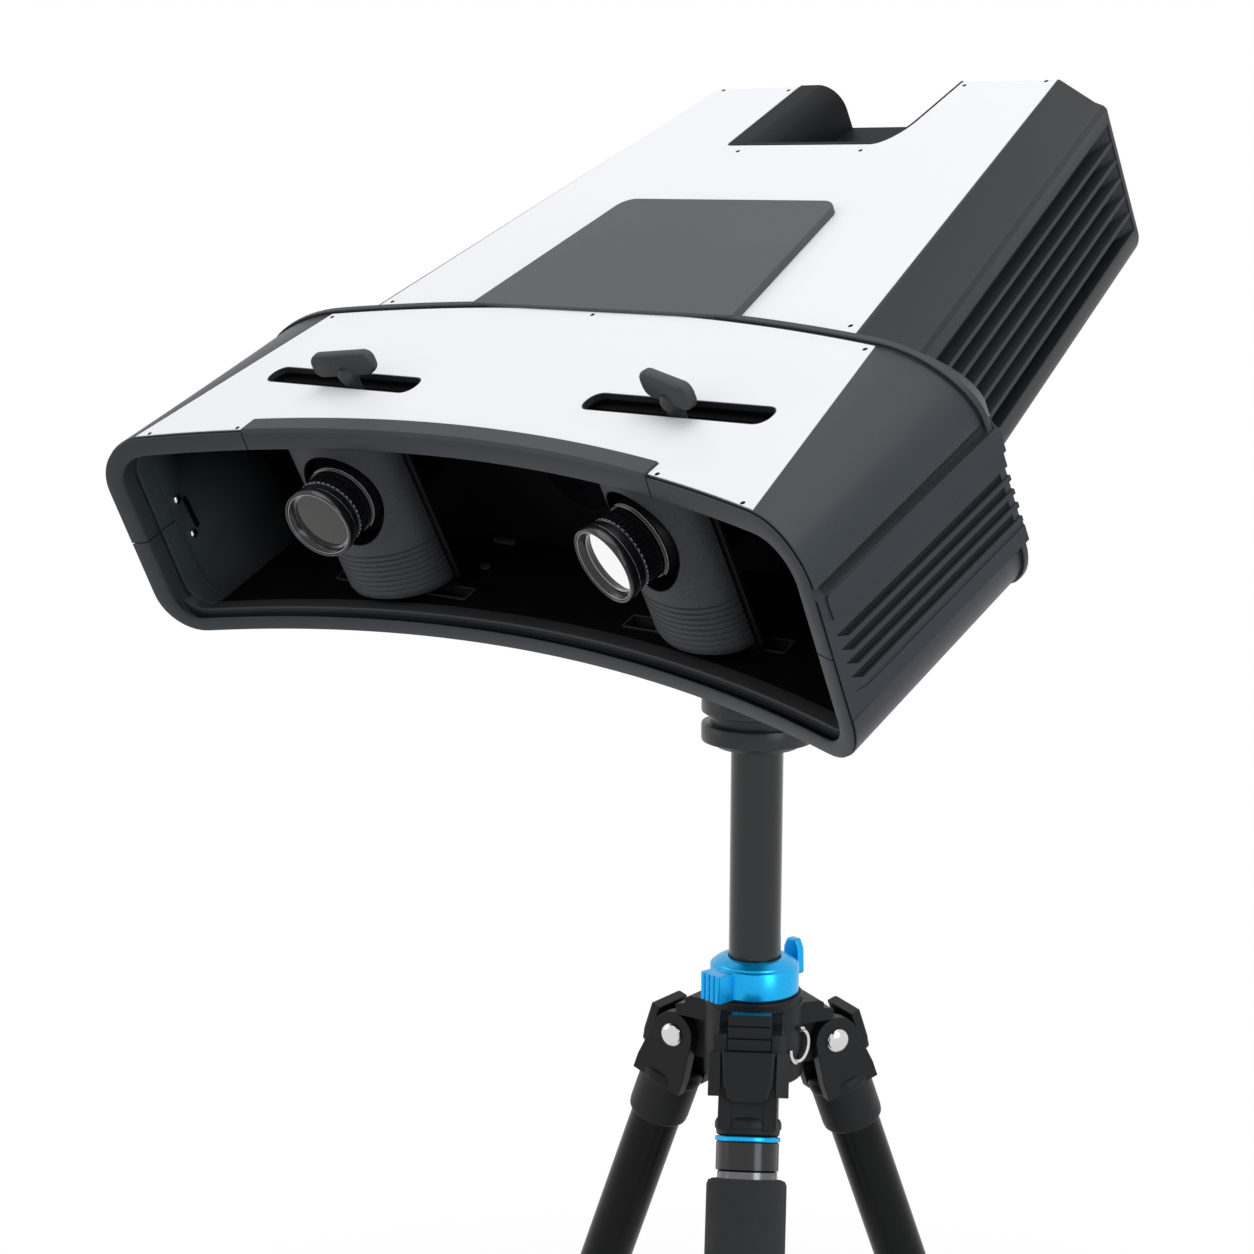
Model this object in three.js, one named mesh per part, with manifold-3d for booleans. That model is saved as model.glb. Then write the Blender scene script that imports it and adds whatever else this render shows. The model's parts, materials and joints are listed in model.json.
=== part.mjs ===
// Structured-light measuring scanner with two sliding cameras, on a pan and tilt head and a tripod.
// Millimetres, +Z up. The scanner's own frame has its origin at the middle of the hood's front edge,
// on the face of the white front panel, with +Y to the rear. The tripod stands on z = 0.
import * as THREE from "three";
import { mergeVertices } from "three/addons/utils/BufferGeometryUtils.js";
import Module from "manifold-3d";

const wasm = await Module();
wasm.setup();

// Clearances and counts
const gap = 0.3; // between pieces that touch, turn or slide
const overrun = 12; // how far a cutting tool reaches past what it cuts
const roundSides = 24;
const smallSides = 12;
const arcSteps = 16;
const roundShare = 0.8; // of a half width that a rounded end or edge takes
const grooveEdgeShare = 0.3; // of a groove's width that each sloping side takes

// Posture
const headTilt = THREE.MathUtils.degToRad(28.3); // the hood looks down
const toeIn = THREE.MathUtils.degToRad(11);
const legSpread = THREE.MathUtils.degToRad(20.5);
const legHeadings = { front: 38, right: 158, left: 278 }; // degrees from -Y towards +X

// Front hood
const hoodHalfWidth = 235;
const hoodHeight = 116;
const hoodCornerRadius = 25;
const hoodWall = 3;
const hoodFloor = 8;
const hoodTopDrop = 0.4; // the white panel stands this proud of the shell
const seamRise = 56; // of the seam between the upper and lower shells above the bottom
const shoulderHeight = 29;
const bezelDepth = 10;
const bezelWidth = 8;
const bezelLean = 7; // the bottom edge lies this far in front of the top edge
const frontArcRadius = 778.6;
const frontArcMiddle = 26.5;
const rearArcRadius = 972;
const rearArcMiddle = 142;
const collarDepth = 8;
const collarProud = 1.5;
const collarRim = 20; // what the collar keeps round its opening

// White front panel and its trim
const panelThickness = 2;
const panelFrontHalf = 204;
const panelRearHalf = 181;
const panelEdgeLength = 125;
const panelLip = 2;
const trimHalfWidth = 135.5;
const trimDepth = 10;
const trimRise = 1.2;

// Slots, levers and the plate that carries the cameras
const slotInner = 57;
const slotOuter = 167;
const slotMiddle = 66;
const slotWidth = 14.5;
const railThickness = 4.7;
const railHalfLength = 180;
const railDepth = 40;
const stemRadius = 4;
const stemSlide = 0.5;
const travelInner = 62;
const travelOuter = 152;
const leftStem = 101.8;
const rightStem = 113.8;
const paddleLength = 38;
const paddleHeight = 12.5;
const paddleThickness = 5.5;
const paddleLift = 5;
const paddleEndShare = 0.9;
const rightLeverTurn = THREE.MathUtils.degToRad(-6);

// Camera pods
const podBack = 42.2;
const podHalfWidth = 32;
const podDepth = 20;
const podWall = 3;
const podRaise = 5; // of the pods' bottoms above the bay's floor
const podWindowHalfWidth = 22;
const podWindowHalfHeight = 26;
const bracketThickness = 3;
const stemOffset = 22; // the clamp stem behind the pod's flat back
const flangeThickness = 4;
const flangeHalfWidth = 14;
const cameraHalfWidth = 19;
const cameraHeight = 39;
const cameraDepth = 35;
const guidePinRadius = 2.9;
const guideSlotWidth = 8;

// Lens
const lensHeight = 42.5; // below the panel's face
const barrelRadius = 19.6;
const barrelLength = 20;
const neckRadius = 15;
const neckLength = 13;
const focusRadius = 17.8;
const focusLength = 10;
const frontRingRadius = 18.8;
const frontRingLength = 9.5;
const glassThickness = 2.4;

// Side pads
const padRise = 3;
const padTop = 29;
const padRaise = 26; // of its bottom above the hood's bottom
const padSetback = 5; // behind the hood's front edge
const padGrooveCount = 5;
const padGrooveRise = 36; // of the top groove above the pad's bottom
const padGroovePitch = 6.4;
const padGrooveWidth = 3.2;
const padGrooveDepth = 2;
const padChamfer = 2.4;
const padStep = 1;

// Rear housing
const rearEnd = 387;
const rearHalfWidth = 138;
const rearTaper = THREE.MathUtils.degToRad(10.8);
const rearDrop = 2.5;
const rearRaise = 14; // of its bottom above the hood's bottom
const rearWall = 3;
const rearCornerRadius = 12;
const rearShoulderWidth = 24;
const rearShoulderHeight = 17;
const plateFrontHalf = 87;
const plateRearHalf = 72.5;
const plateRear = 249.5;
const plateCorner = 10;
const plateThickness = 4;

// Cable recess at the rear
const recessHalfWidth = 55;
const recessFront = 316;
const recessDepth = 26;
const recessRim = 12;
const recessRound = 15;
const recessSkin = 3;
const socketPlateThickness = 3;
const buttonRadius = 4.5;
const buttonPlaceShare = 0.7; // of the channel's half width
const buttonLength = 7;
const buttonTravel = 1.5;

// Side vents
const ventLength = 245;
const ventFromRear = 6;
const ventTop = 27;
const ventRaise = 16; // of the openings' lower edges above the housing's bottom
const ventRibCount = 5;
const ventSlotWidth = 6;
const ventPlate = 2;
const ventLedge = 6;

// Inside
const bulkheadY = 92;
const bulkheadThickness = 2.5;
const windowRadius = 22;
const projectorRaise = 56; // of the projector's axis above the hood's bottom
const projectorHalfWidth = 34;
const projectorFront = 160;
const projectorLength = 90;
const projectorCrown = 20; // of the housing's top above the axis
const projectorLensRadius = 19;
const boardX = -92;
const boardY = 200;
const boardWidth = 76;
const boardLength = 120;
const boardThickness = 1.6;
const standoffHeight = 8;
const standoffRadius = 3;
const fanSize = 60;
const fanDepth = 15;
const fanRadius = 27.5;
const fanHubRadius = 11;
const fanStrut = 2;
const fanBladeCount = 7;
const bladePitch = THREE.MathUtils.degToRad(36);
const fanRaise = 37; // of the fan's axis above the housing's bottom
const exhaustSlotCount = 5;
const exhaustSlotWidth = 5;

// Pan and tilt head
const trunnionBack = 199.5; // the trunnion's place in the scanner's frame
const trunnionDrop = 150.5;
const turretHeight = 111; // from the base's top to the trunnion
const cheekGap = 32;
const cheekThickness = 10;
const cheekHalfDepth = 20;
const cradleRadius = 16;
const cradlePlateWidth = 90;
const cradlePlateDepth = 78;
const cradlePlateThickness = 8;
const trunnionPin = 6;
const tiltShaft = 5;
const tiltKnobRadius = 16;
const tiltKnobLength = 18;
const turntableRadius = 30;
const turntableHeight = 9;
const turretNeck = 20;
const grooveRadius = 25;
const grooveHeight = 5;
const baseDiscHeight = 10;
const baseFootRadius = 23;
const baseFootHeight = 3;
const yokeFloor = 16;
const panKnobRadius = 9;
const panKnobLength = 18;
const panShaft = 3;
const panKnobTurn = THREE.MathUtils.degToRad(40);

// Column, clamp collar and crown
const columnShown = 115.7; // above the collar
const columnLength = 340;
const columnRadius = 14;
const columnWall = 2;
const collarHeight = 19.5;
const clampRadius = 24;
const clampConeHeight = 3.7;
const clampConeRadius = 17;
const earWidth = 15;
const earReach = 8;
const earHeight = 15;
const earTurn = THREE.MathUtils.degToRad(84);
const wingLength = 23;
const wingWidth = 14;
const wingThickness = 5;
const wingShaft = 3;
const wingReach = 9;
const wingTurn = THREE.MathUtils.degToRad(85);
const crownRadius = 27;
const crownRise = 30; // of its top above the leg hinges
const crownDrop = 16.5;
const hingeRadius = 43.5;
const tongueWidth = 16;
const tongueRadius = 12;
const capWidth = 34;
const capDrop = 5; // of the arms' tops below the crown's top
const capReach = 33;
const hookWire = 1.5;
const hookRadius = 9;
const hookTurn = THREE.MathUtils.degToRad(8);

// Legs
const boltRadius = 3;
const boltHeadRadius = 6.5;
const boltHeadHeight = 2.5;
const cheekRadius = 13;
const legCheek = 7;
const cheekLength = 28;
const socketRadius = 17.5;
const socketLength = 28;
const legRadius = 14;
const legBore = 12.3;
const legLength = 330;
const twistRadius = 17.5;
const twistLength = 34;
const lowerRadius = 12;
const lowerStart = 68;
const lowerLength = 332;
const lowerWall = 1.5;
const footRadius = 13;
const footLength = 26;
const soleCut = 3.2;
const lockWidth = 28;
const lockThickness = 6;
const lockLength = 26;
const lockReach = 13; // of its lower edge below the hinge
const foamRadius = 21;
const foamStart = 56;
const foamLength = 118;
const sleeveRadius = 17;

// Depths below the panel's face
const hoodSeam = hoodHeight - seamRise;
const bayFloor = hoodHeight - hoodFloor;
const podBottom = bayFloor - podRaise;
const padBottom = hoodHeight - padRaise;
const padGrooveTop = padBottom - padGrooveRise;
const rearHeight = hoodHeight - rearRaise;
const ventBottom = rearHeight - ventRaise;
const fanHeight = rearHeight - fanRaise;
const projectorHeight = hoodHeight - projectorRaise;
const projectorTop = projectorHeight - projectorCrown;

// Heights above the ground
const footReach = lowerStart + lowerLength + footLength - soleCut;
const hingeHeight = footReach * Math.cos(legSpread);
const crownTop = hingeHeight + crownRise;
const collarBottom = crownTop + gap;
const collarTop = collarBottom + collarHeight;
const columnTop = collarTop + columnShown;
const baseTop = columnTop + baseFootHeight + baseDiscHeight + grooveHeight;
const trunnionHeight = baseTop + turretHeight;

const material = (name, color, roughness, metalness) =>
  new THREE.MeshStandardMaterial({ name, color, roughness, metalness });
const blackPlastic = material("black_plastic", 0x24272a, 0.55, 0);
const whitePanel = material("white_panel", 0xf1f1f3, 0.4, 0);
const greyPlastic = material("grey_plastic", 0x3b3e41, 0.6, 0);
const blackMetal = material("black_metal", 0x17181a, 0.35, 0.8);
const blueMetal = material("blue_metal", 0x0a84d6, 0.3, 0.9);
const steel = material("steel", 0xc4c6c8, 0.25, 1);
const glass = material("glass", 0x2a2e2c, 0.05, 0);
const foam = material("foam", 0x2c2d2f, 0.9, 0);
const rubber = material("rubber", 0x1c1c1d, 0.85, 0);
const circuit = material("circuit", 0x1c4f33, 0.5, 0);

// Solids and booleans
function toSolid(geometry) {
  const bare = geometry.clone();
  bare.deleteAttribute("normal");
  bare.deleteAttribute("uv");
  const merged = mergeVertices(bare);
  const corners = merged.index.array;
  const kept = [];
  for (let i = 0; i < corners.length; i += 3) {
    const [a, b, c] = [corners[i], corners[i + 1], corners[i + 2]];
    if (a !== b && b !== c && c !== a) kept.push(a, b, c);
  }
  return new wasm.Manifold(new wasm.Mesh({
    numProp: 3,
    vertProperties: new Float32Array(merged.attributes.position.array),
    triVerts: new Uint32Array(kept),
  }));
}

function toGeometry(solid) {
  const mesh = solid.getMesh();
  const geometry = new THREE.BufferGeometry();
  geometry.setAttribute("position", new THREE.BufferAttribute(mesh.vertProperties, 3));
  geometry.setIndex(new THREE.BufferAttribute(mesh.triVerts, 1));
  geometry.computeVertexNormals();
  return geometry;
}

const fold = (operation, first, others) =>
  toGeometry(others.reduce((solid, other) => solid[operation](toSolid(other)), toSolid(first)));
const join = (first, ...others) => fold("add", first, others);
const cut = (first, ...others) => fold("subtract", first, others);
const common = (first, ...others) => fold("intersect", first, others);

// Shapes
function box(low, high) {
  const size = new THREE.Vector3(...high).sub(new THREE.Vector3(...low));
  const middle = new THREE.Vector3(...high).add(new THREE.Vector3(...low)).multiplyScalar(0.5);
  return new THREE.BoxGeometry(size.x, size.y, size.z).translate(middle.x, middle.y, middle.z);
}

// A prism over a plan outline, between two heights
function prism(outline, low, high) {
  const shape = outline instanceof THREE.Shape ? outline : new THREE.Shape(outline);
  const options = { depth: high - low, bevelEnabled: false, curveSegments: 4 };
  return new THREE.ExtrudeGeometry(shape, options).translate(0, 0, low);
}

// A turned piece about Z: the profile holds [radius, height] pairs, outside going up
function turned(profile, sides = roundSides) {
  const points = profile.map(([radius, height]) => new THREE.Vector2(radius, height));
  return new THREE.LatheGeometry(points, sides).rotateX(Math.PI / 2);
}

const rod = (radius, low, high, sides) => turned([[0, low], [radius, low], [radius, high], [0, high]], sides);
const alongX = (geometry) => geometry.rotateY(Math.PI / 2);
const alongForward = (geometry) => geometry.rotateX(Math.PI / 2); // +Z turned to -Y

function mirrored(geometry) {
  const flipped = geometry.index ? geometry.clone() : mergeVertices(geometry.clone());
  flipped.scale(-1, 1, 1);
  const corners = flipped.index.array;
  for (let i = 0; i < corners.length; i += 3) {
    [corners[i + 1], corners[i + 2]] = [corners[i + 2], corners[i + 1]];
  }
  flipped.computeVertexNormals();
  return flipped;
}

// A skin over two like outlines of (x, z) points, at a front and a rear y
function loft(front, frontY, rear, rearY) {
  const count = front.length;
  const positions = [];
  front.forEach((point) => positions.push(point.x, frontY, point.y));
  rear.forEach((point) => positions.push(point.x, rearY, point.y));
  const corners = [];
  for (let i = 0; i < count; i += 1) {
    const next = (i + 1) % count;
    corners.push(i, i + count, next + count, i, next + count, next);
  }
  THREE.ShapeUtils.triangulateShape(front, []).forEach(([a, b, c]) => corners.push(a, b, c));
  THREE.ShapeUtils.triangulateShape(rear, []).forEach(([a, b, c]) => corners.push(a + count, c + count, b + count));
  const geometry = new THREE.BufferGeometry();
  geometry.setAttribute("position", new THREE.Float32BufferAttribute(positions, 3));
  geometry.setIndex(corners);
  return geometry;
}

const mirrorHalf = (half) => [...half, ...half.slice().reverse().map((point) => new THREE.Vector2(-point.x, point.y))];

// Points round a quarter ellipse, from its side to its top
function quarter(cornerX, cornerZ, width, height, steps) {
  return Array.from({ length: steps + 1 }, (_, i) => {
    const angle = (Math.PI / 2) * (i / steps);
    return new THREE.Vector2(cornerX + width * Math.cos(angle), cornerZ + height * Math.sin(angle));
  });
}

const lowerCorner = (half, bottom, radius, steps) =>
  quarter(half - radius, bottom - radius, radius, radius, steps).reverse()
    .map((point) => new THREE.Vector2(point.x, -point.y));

// Plan arcs: y falls away from its middle value to both sides
const arcY = (radius, middle, x) => middle - (radius - Math.sqrt(radius * radius - x * x));
function planArc(radius, middle, half) {
  return Array.from({ length: arcSteps + 1 }, (_, i) => {
    const x = -half + (2 * half * i) / arcSteps;
    return new THREE.Vector2(x, arcY(radius, middle, x));
  });
}

const planHalf = hoodHalfWidth + overrun;
function behindArc(radius, middle, reach) {
  return [...planArc(radius, middle, planHalf), new THREE.Vector2(planHalf, reach), new THREE.Vector2(-planHalf, reach)];
}
function aheadOfArc(radius, middle, reach) {
  return [new THREE.Vector2(-planHalf, reach), new THREE.Vector2(planHalf, reach),
    ...planArc(radius, middle, planHalf).reverse()];
}

const panelHalfAt = (y) => panelFrontHalf + ((panelRearHalf - panelFrontHalf) * y) / panelEdgeLength;

// Hood section at y, drawn in by inset at the sides, with its own top and bottom
function hoodOutline(y, inset, top, bottom) {
  const half = hoodHalfWidth - inset;
  const panelHalf = panelHalfAt(y);
  return mirrorHalf([
    ...lowerCorner(half, bottom, hoodCornerRadius - inset, 4),
    ...quarter(panelHalf, -shoulderHeight, half - panelHalf, shoulderHeight - top, 6),
  ]);
}

const hoodFrontY = -hoodHalfWidth / 4;
const hoodRearY = rearArcMiddle + collarDepth + overrun;
const hoodLoft = (inset, top, bottom) =>
  loft(hoodOutline(hoodFrontY, inset, top, bottom), hoodFrontY, hoodOutline(hoodRearY, inset, top, bottom), hoodRearY);

// Everything behind the leaning front face, moved back by setback
function behindFace(setback) {
  const lean = bezelLean / hoodHeight;
  const shear = new THREE.Matrix4().set(1, 0, 0, 0, 0, 1, lean, 0, 0, 0, 1, 0, 0, 0, 0, 1);
  return prism(behindArc(frontArcRadius, frontArcMiddle + setback, hoodRearY + overrun), -hoodHeight - overrun, overrun)
    .applyMatrix4(shear);
}
const aheadOfRear = (setback) =>
  prism(aheadOfArc(rearArcRadius, rearArcMiddle + setback, hoodFrontY - overrun), -hoodHeight - overrun, overrun);
const behindRear = (setback) =>
  prism(behindArc(rearArcRadius, rearArcMiddle + setback, rearEnd + overrun), -hoodHeight - overrun, overrun);

const pocketDepth = panelThickness + gap;
const ceiling = pocketDepth + hoodWall;

// White front panel, with room for its trim and the two lever slots
function panelPlan(grow) {
  const tools = [
    prism([
      new THREE.Vector2(-panelHalfAt(hoodFrontY) - grow, hoodFrontY),
      new THREE.Vector2(panelHalfAt(hoodFrontY) + grow, hoodFrontY),
      new THREE.Vector2(panelHalfAt(hoodRearY) + grow, hoodRearY),
      new THREE.Vector2(-panelHalfAt(hoodRearY) - grow, hoodRearY),
    ], -panelThickness - grow, overrun),
    prism(behindArc(frontArcRadius, frontArcMiddle + panelLip - grow, hoodRearY), -hoodHeight, overrun),
    aheadOfRear(grow - gap),
  ];
  return common(...tools);
}

function trimSolid(grow) {
  return common(
    box([-trimHalfWidth - grow, hoodFrontY, -panelThickness - grow], [trimHalfWidth + grow, rearArcMiddle, trimRise + grow]),
    prism(behindArc(frontArcRadius, frontArcMiddle - grow, hoodRearY), -hoodHeight, overrun),
    prism(aheadOfArc(frontArcRadius, frontArcMiddle + trimDepth + grow, hoodFrontY), -hoodHeight, overrun),
  );
}

function slotPlan(side, grow) {
  const half = slotWidth / 2 + grow;
  const round = half * roundShare;
  const [inner, outer] = [slotInner - grow, slotOuter + grow];
  const shape = new THREE.Shape();
  shape.moveTo(inner + round, slotMiddle - half);
  shape.absarc(outer - round, slotMiddle - half + round, round, -Math.PI / 2, 0, false);
  shape.absarc(outer - round, slotMiddle + half - round, round, 0, Math.PI / 2, false);
  shape.absarc(inner + round, slotMiddle + half - round, round, Math.PI / 2, Math.PI, false);
  shape.absarc(inner + round, slotMiddle - half + round, round, Math.PI, Math.PI * 1.5, false);
  const tool = prism(shape, -ceiling - overrun, overrun);
  return side < 0 ? mirrored(tool) : tool;
}

function frontTopPanel() {
  const sheet = common(panelPlan(0), box([-planHalf, hoodFrontY, -panelThickness], [planHalf, hoodRearY, 0]));
  return cut(sheet, trimSolid(gap), slotPlan(1, 0), slotPlan(-1, 0));
}

function hoodShell() {
  const outer = common(hoodLoft(0, hoodTopDrop, hoodHeight), behindFace(0), aheadOfRear(0));
  const rimHole = hoodLoft(bezelWidth, bezelWidth, bayFloor);
  const cavity = common(hoodLoft(hoodWall, ceiling, bayFloor), behindFace(bezelDepth));
  return cut(outer, rimHole, cavity, panelPlan(gap), trimSolid(gap), slotPlan(1, gap), slotPlan(-1, gap));
}

const wide = planHalf + overrun;
const seamBox = (low, high) => box([-wide, hoodFrontY - overrun, low], [wide, rearEnd, high]);

function frontUpperShell(shell) {
  return cut(shell, seamBox(-hoodHeight - overrun, -hoodSeam + gap / 2));
}

// The guide pins of both pods run in slots in the floor
const pinOffset = bracketThickness / 2 + gap;
const pinX = (stem) => stem - (stemOffset - pinOffset) * Math.sin(toeIn);
const pinY = podBack + pinOffset * Math.cos(toeIn);
function frontLowerShell(shell) {
  const reach = guidePinRadius + 2 * gap;
  const slots = [-1, 1].map((side) => {
    const ends = [side * (pinX(travelInner) - reach), side * (pinX(travelOuter) + reach)].sort((a, b) => a - b);
    return box([ends[0], pinY - guideSlotWidth / 2, -hoodHeight - overrun], [ends[1], pinY + guideSlotWidth / 2, -bayFloor + overrun]);
  });
  return cut(shell, seamBox(-hoodSeam - gap / 2, overrun), ...slots);
}

const padFront = arcY(frontArcRadius, frontArcMiddle, hoodHalfWidth) + padSetback;
const padRear = arcY(rearArcRadius, rearArcMiddle, hoodHalfWidth + gap + padRise) - gap;
function sidePad() {
  const face = hoodHalfWidth + gap;
  const outline = [
    new THREE.Vector2(face, -padBottom),
    new THREE.Vector2(face + padRise, -padBottom),
  ];
  for (let i = padGrooveCount - 1; i >= 0; i -= 1) {
    const top = -padGrooveTop - i * padGroovePitch;
    const floor = face + padRise - padGrooveDepth;
    outline.push(new THREE.Vector2(face + padRise, top - padGrooveWidth), new THREE.Vector2(floor, top - padGrooveWidth * (1 - grooveEdgeShare)));
    outline.push(new THREE.Vector2(floor, top - padGrooveWidth * grooveEdgeShare), new THREE.Vector2(face + padRise, top));
  }
  outline.push(new THREE.Vector2(face + padRise, -padTop - padChamfer), new THREE.Vector2(face, -padTop));
  const pad = loft(outline, padFront, outline, padRear);
  const steps = Array.from({ length: padGrooveCount }, (_, i) => {
    const low = -padGrooveTop - i * padGroovePitch;
    return box([face - overrun, padRear - (padGrooveCount - i) * padStep, low], [face + overrun, padRear + overrun, low + padGroovePitch]);
  });
  const upper = box([face - overrun, padRear - (padGrooveCount + 1) * padStep, -padGrooveTop], [face + overrun, padRear + overrun, 0]);
  return cut(pad, ...steps, upper);
}

// The rear collar closes the step between the hood and the narrower rear housing
function rearCollar() {
  const outer = common(hoodLoft(-collarProud, hoodTopDrop - collarProud, hoodHeight + collarProud), behindRear(gap), aheadOfRear(collarDepth));
  const half = rearSideAt(rearArcMiddle) - collarRim;
  return cut(outer, box([-half, 0, -rearHeight + collarRim / 2], [half, rearEnd, -collarRim]));
}

// Rear housing
function rearSideAt(y) {
  return rearHalfWidth + (rearEnd - y) * Math.tan(rearTaper);
}
function rearOutline(y, inset, top, bottom) {
  const half = rearSideAt(y) - inset;
  const shoulder = rearSideAt(y) - rearShoulderWidth;
  return mirrorHalf([
    ...lowerCorner(half, bottom, rearCornerRadius - inset, 3),
    ...quarter(half - rearCornerRadius / 2, -rearDrop - rearShoulderHeight, rearCornerRadius / 2, rearCornerRadius / 4, 2),
    new THREE.Vector2(shoulder, -top),
  ]);
}
const rearFrontY = rearArcMiddle - 2 * collarRim;
const rearLoft = (inset, top, bottom, end) =>
  loft(rearOutline(rearFrontY, inset, top, bottom), rearFrontY, rearOutline(end, inset, top, bottom), end);
const rearRoof = rearDrop + pocketDepth + rearWall;

function rearPanelPlan(grow) {
  const sheetHalf = (y) => rearSideAt(y) - rearShoulderWidth + grow;
  const sheet = common(
    prism([
      new THREE.Vector2(-sheetHalf(rearFrontY), rearFrontY),
      new THREE.Vector2(sheetHalf(rearFrontY), rearFrontY),
      new THREE.Vector2(sheetHalf(rearEnd), rearEnd - rearWall + grow),
      new THREE.Vector2(-sheetHalf(rearEnd), rearEnd - rearWall + grow),
    ], -rearDrop - panelThickness - grow, grow > 0 ? overrun : -rearDrop),
    behindRear(collarDepth + gap - grow),
  );
  return sheet;
}

const recessBox = (grow, low) =>
  box([-recessHalfWidth - grow, recessFront - grow, low], [recessHalfWidth + grow, rearEnd + overrun, overrun]);

function sideFrame(geometry) {
  return geometry.rotateZ(rearTaper).translate(rearHalfWidth, rearEnd, 0);
}
const ventMiddle = -ventFromRear - ventLength / 2;
const ventHole = () => sideFrame(box(
  [-rearWall - overrun, ventMiddle - ventLength / 2, -ventBottom],
  [overrun, ventMiddle + ventLength / 2, -ventTop],
));

function rearShell() {
  const outer = common(rearLoft(0, rearDrop + hoodTopDrop, rearHeight, rearEnd), behindRear(collarDepth + gap));
  const cavity = rearLoft(rearWall, rearRoof, rearHeight - rearWall, rearEnd - rearWall);
  const pitch = (fanRadius * 2) / exhaustSlotCount;
  const exhaust = Array.from({ length: exhaustSlotCount }, (_, i) => {
    const low = -fanHeight - fanRadius + i * pitch + (pitch - exhaustSlotWidth) / 2;
    return box([-fanRadius, rearEnd - rearWall - overrun, low], [fanRadius, rearEnd + overrun, low + exhaustSlotWidth]);
  });
  return cut(outer, cavity, rearPanelPlan(gap), recessBox(0, -rearDrop - recessDepth - recessSkin - gap), ventHole(), mirrored(ventHole()), ...exhaust);
}

function rearTopPanel() {
  return cut(rearPanelPlan(0), recessBox(gap, -hoodHeight));
}

function coverPlate() {
  const low = -rearDrop + gap;
  const slope = (plateFrontHalf - plateRearHalf) / (plateRear - rearArcMiddle);
  const frontHalf = plateRearHalf + slope * (plateRear - rearFrontY);
  const outline = [
    new THREE.Vector2(-frontHalf, rearFrontY),
    new THREE.Vector2(frontHalf, rearFrontY),
    ...quarter(plateRearHalf - plateCorner, plateRear - plateCorner, plateCorner, plateCorner, 4),
    ...quarter(plateRearHalf - plateCorner, plateRear - plateCorner, plateCorner, plateCorner, 4).reverse()
      .map((point) => new THREE.Vector2(-point.x, point.y)),
  ];
  return common(prism(outline, low, low + plateThickness), behindRear(collarDepth + gap));
}

// The recess tray has a flat rim, rounded shoulders and a flat floor
const channelHalf = recessHalfWidth - recessRim - recessRound;
function cableRecess() {
  const half = recessHalfWidth - gap;
  const top = -rearDrop;
  const floor = top - recessDepth;
  const side = [
    new THREE.Vector2(half, floor - recessSkin),
    new THREE.Vector2(half, top),
    ...quarter(channelHalf + recessRound, top - recessRound, -recessRound, recessRound, 5).reverse(),
    new THREE.Vector2(channelHalf, floor),
  ];
  const outline = mirrorHalf(side);
  const tray = loft(outline, recessFront + gap, outline, rearEnd);
  const wall = box([-half, recessFront + gap, floor - recessSkin], [half, recessFront + gap + recessSkin, top]);
  return join(tray, wall);
}

const socketFace = recessFront + 2 * gap + recessSkin;
function connectorPanel() {
  const low = -rearDrop - recessDepth + gap;
  const plate = box([-channelHalf + gap, socketFace, low], [channelHalf - gap, socketFace + socketPlateThickness, low + recessDepth - recessRound / 2]);
  const width = channelHalf / 3;
  const socket = box([-width, socketFace + socketPlateThickness / 2, low + buttonRadius], [width, socketFace + 2 * socketPlateThickness, low + 3 * buttonRadius]);
  const hole = box([-width + hookWire, socketFace + socketPlateThickness, low + buttonRadius + hookWire], [width - hookWire, socketFace + overrun, low + 3 * buttonRadius - hookWire]);
  const bore = alongForward(rod(buttonRadius + gap, -overrun, overrun, smallSides)).translate(channelHalf * buttonPlaceShare, socketFace, low + 2 * buttonRadius);
  return cut(join(plate, socket), hole, bore);
}
const buttonPlace = [channelHalf * buttonPlaceShare, socketFace, -rearDrop - recessDepth + gap + 2 * buttonRadius];
const powerButton = () => alongForward(rod(buttonRadius, -buttonLength, -buttonTravel - gap, smallSides));

// Vent grille, in the frame of the tapered side wall
function ventGrille() {
  const clear = gap;
  const half = ventLength / 2 - clear;
  const plate = box([-rearWall, ventMiddle - half, -ventBottom + clear], [-rearWall + ventPlate, ventMiddle + half, -ventTop - clear]);
  const pitch = (ventBottom - ventTop) / (ventRibCount + 1);
  const slots = [];
  const ribs = [];
  for (let i = 0; i < ventRibCount; i += 1) {
    const rib = -ventTop - (i + 1) * pitch;
    ribs.push(box([-rearWall + ventPlate / 2, ventMiddle - half, rib - ventPlate / 2], [-hoodTopDrop, ventMiddle + half, rib + ventPlate / 2]));
    slots.push(box([-rearWall - overrun, ventMiddle - half + ventLedge, rib + ventPlate / 2], [overrun, ventMiddle + half - ventLedge, rib + ventPlate / 2 + ventSlotWidth]));
  }
  return join(cut(plate, ...slots), ...ribs);
}

// Plate under the roof that carries both cameras
const stemY = podBack + stemOffset * Math.cos(toeIn);
function carriageRail() {
  const top = -ceiling - gap;
  const plate = box([-railHalfLength, slotMiddle - railDepth / 2, top - railThickness], [railHalfLength, slotMiddle + railDepth / 2, top]);
  const half = stemRadius + stemSlide;
  const slots = [-1, 1].map((side) => {
    const ends = [side * (travelInner - half), side * (travelOuter + half)].sort((a, b) => a - b);
    return box([ends[0], stemY - half, -hoodHeight], [ends[1], stemY + half, 0]);
  });
  return cut(plate, ...slots);
}
const railBottom = -ceiling - gap - railThickness;

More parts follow.
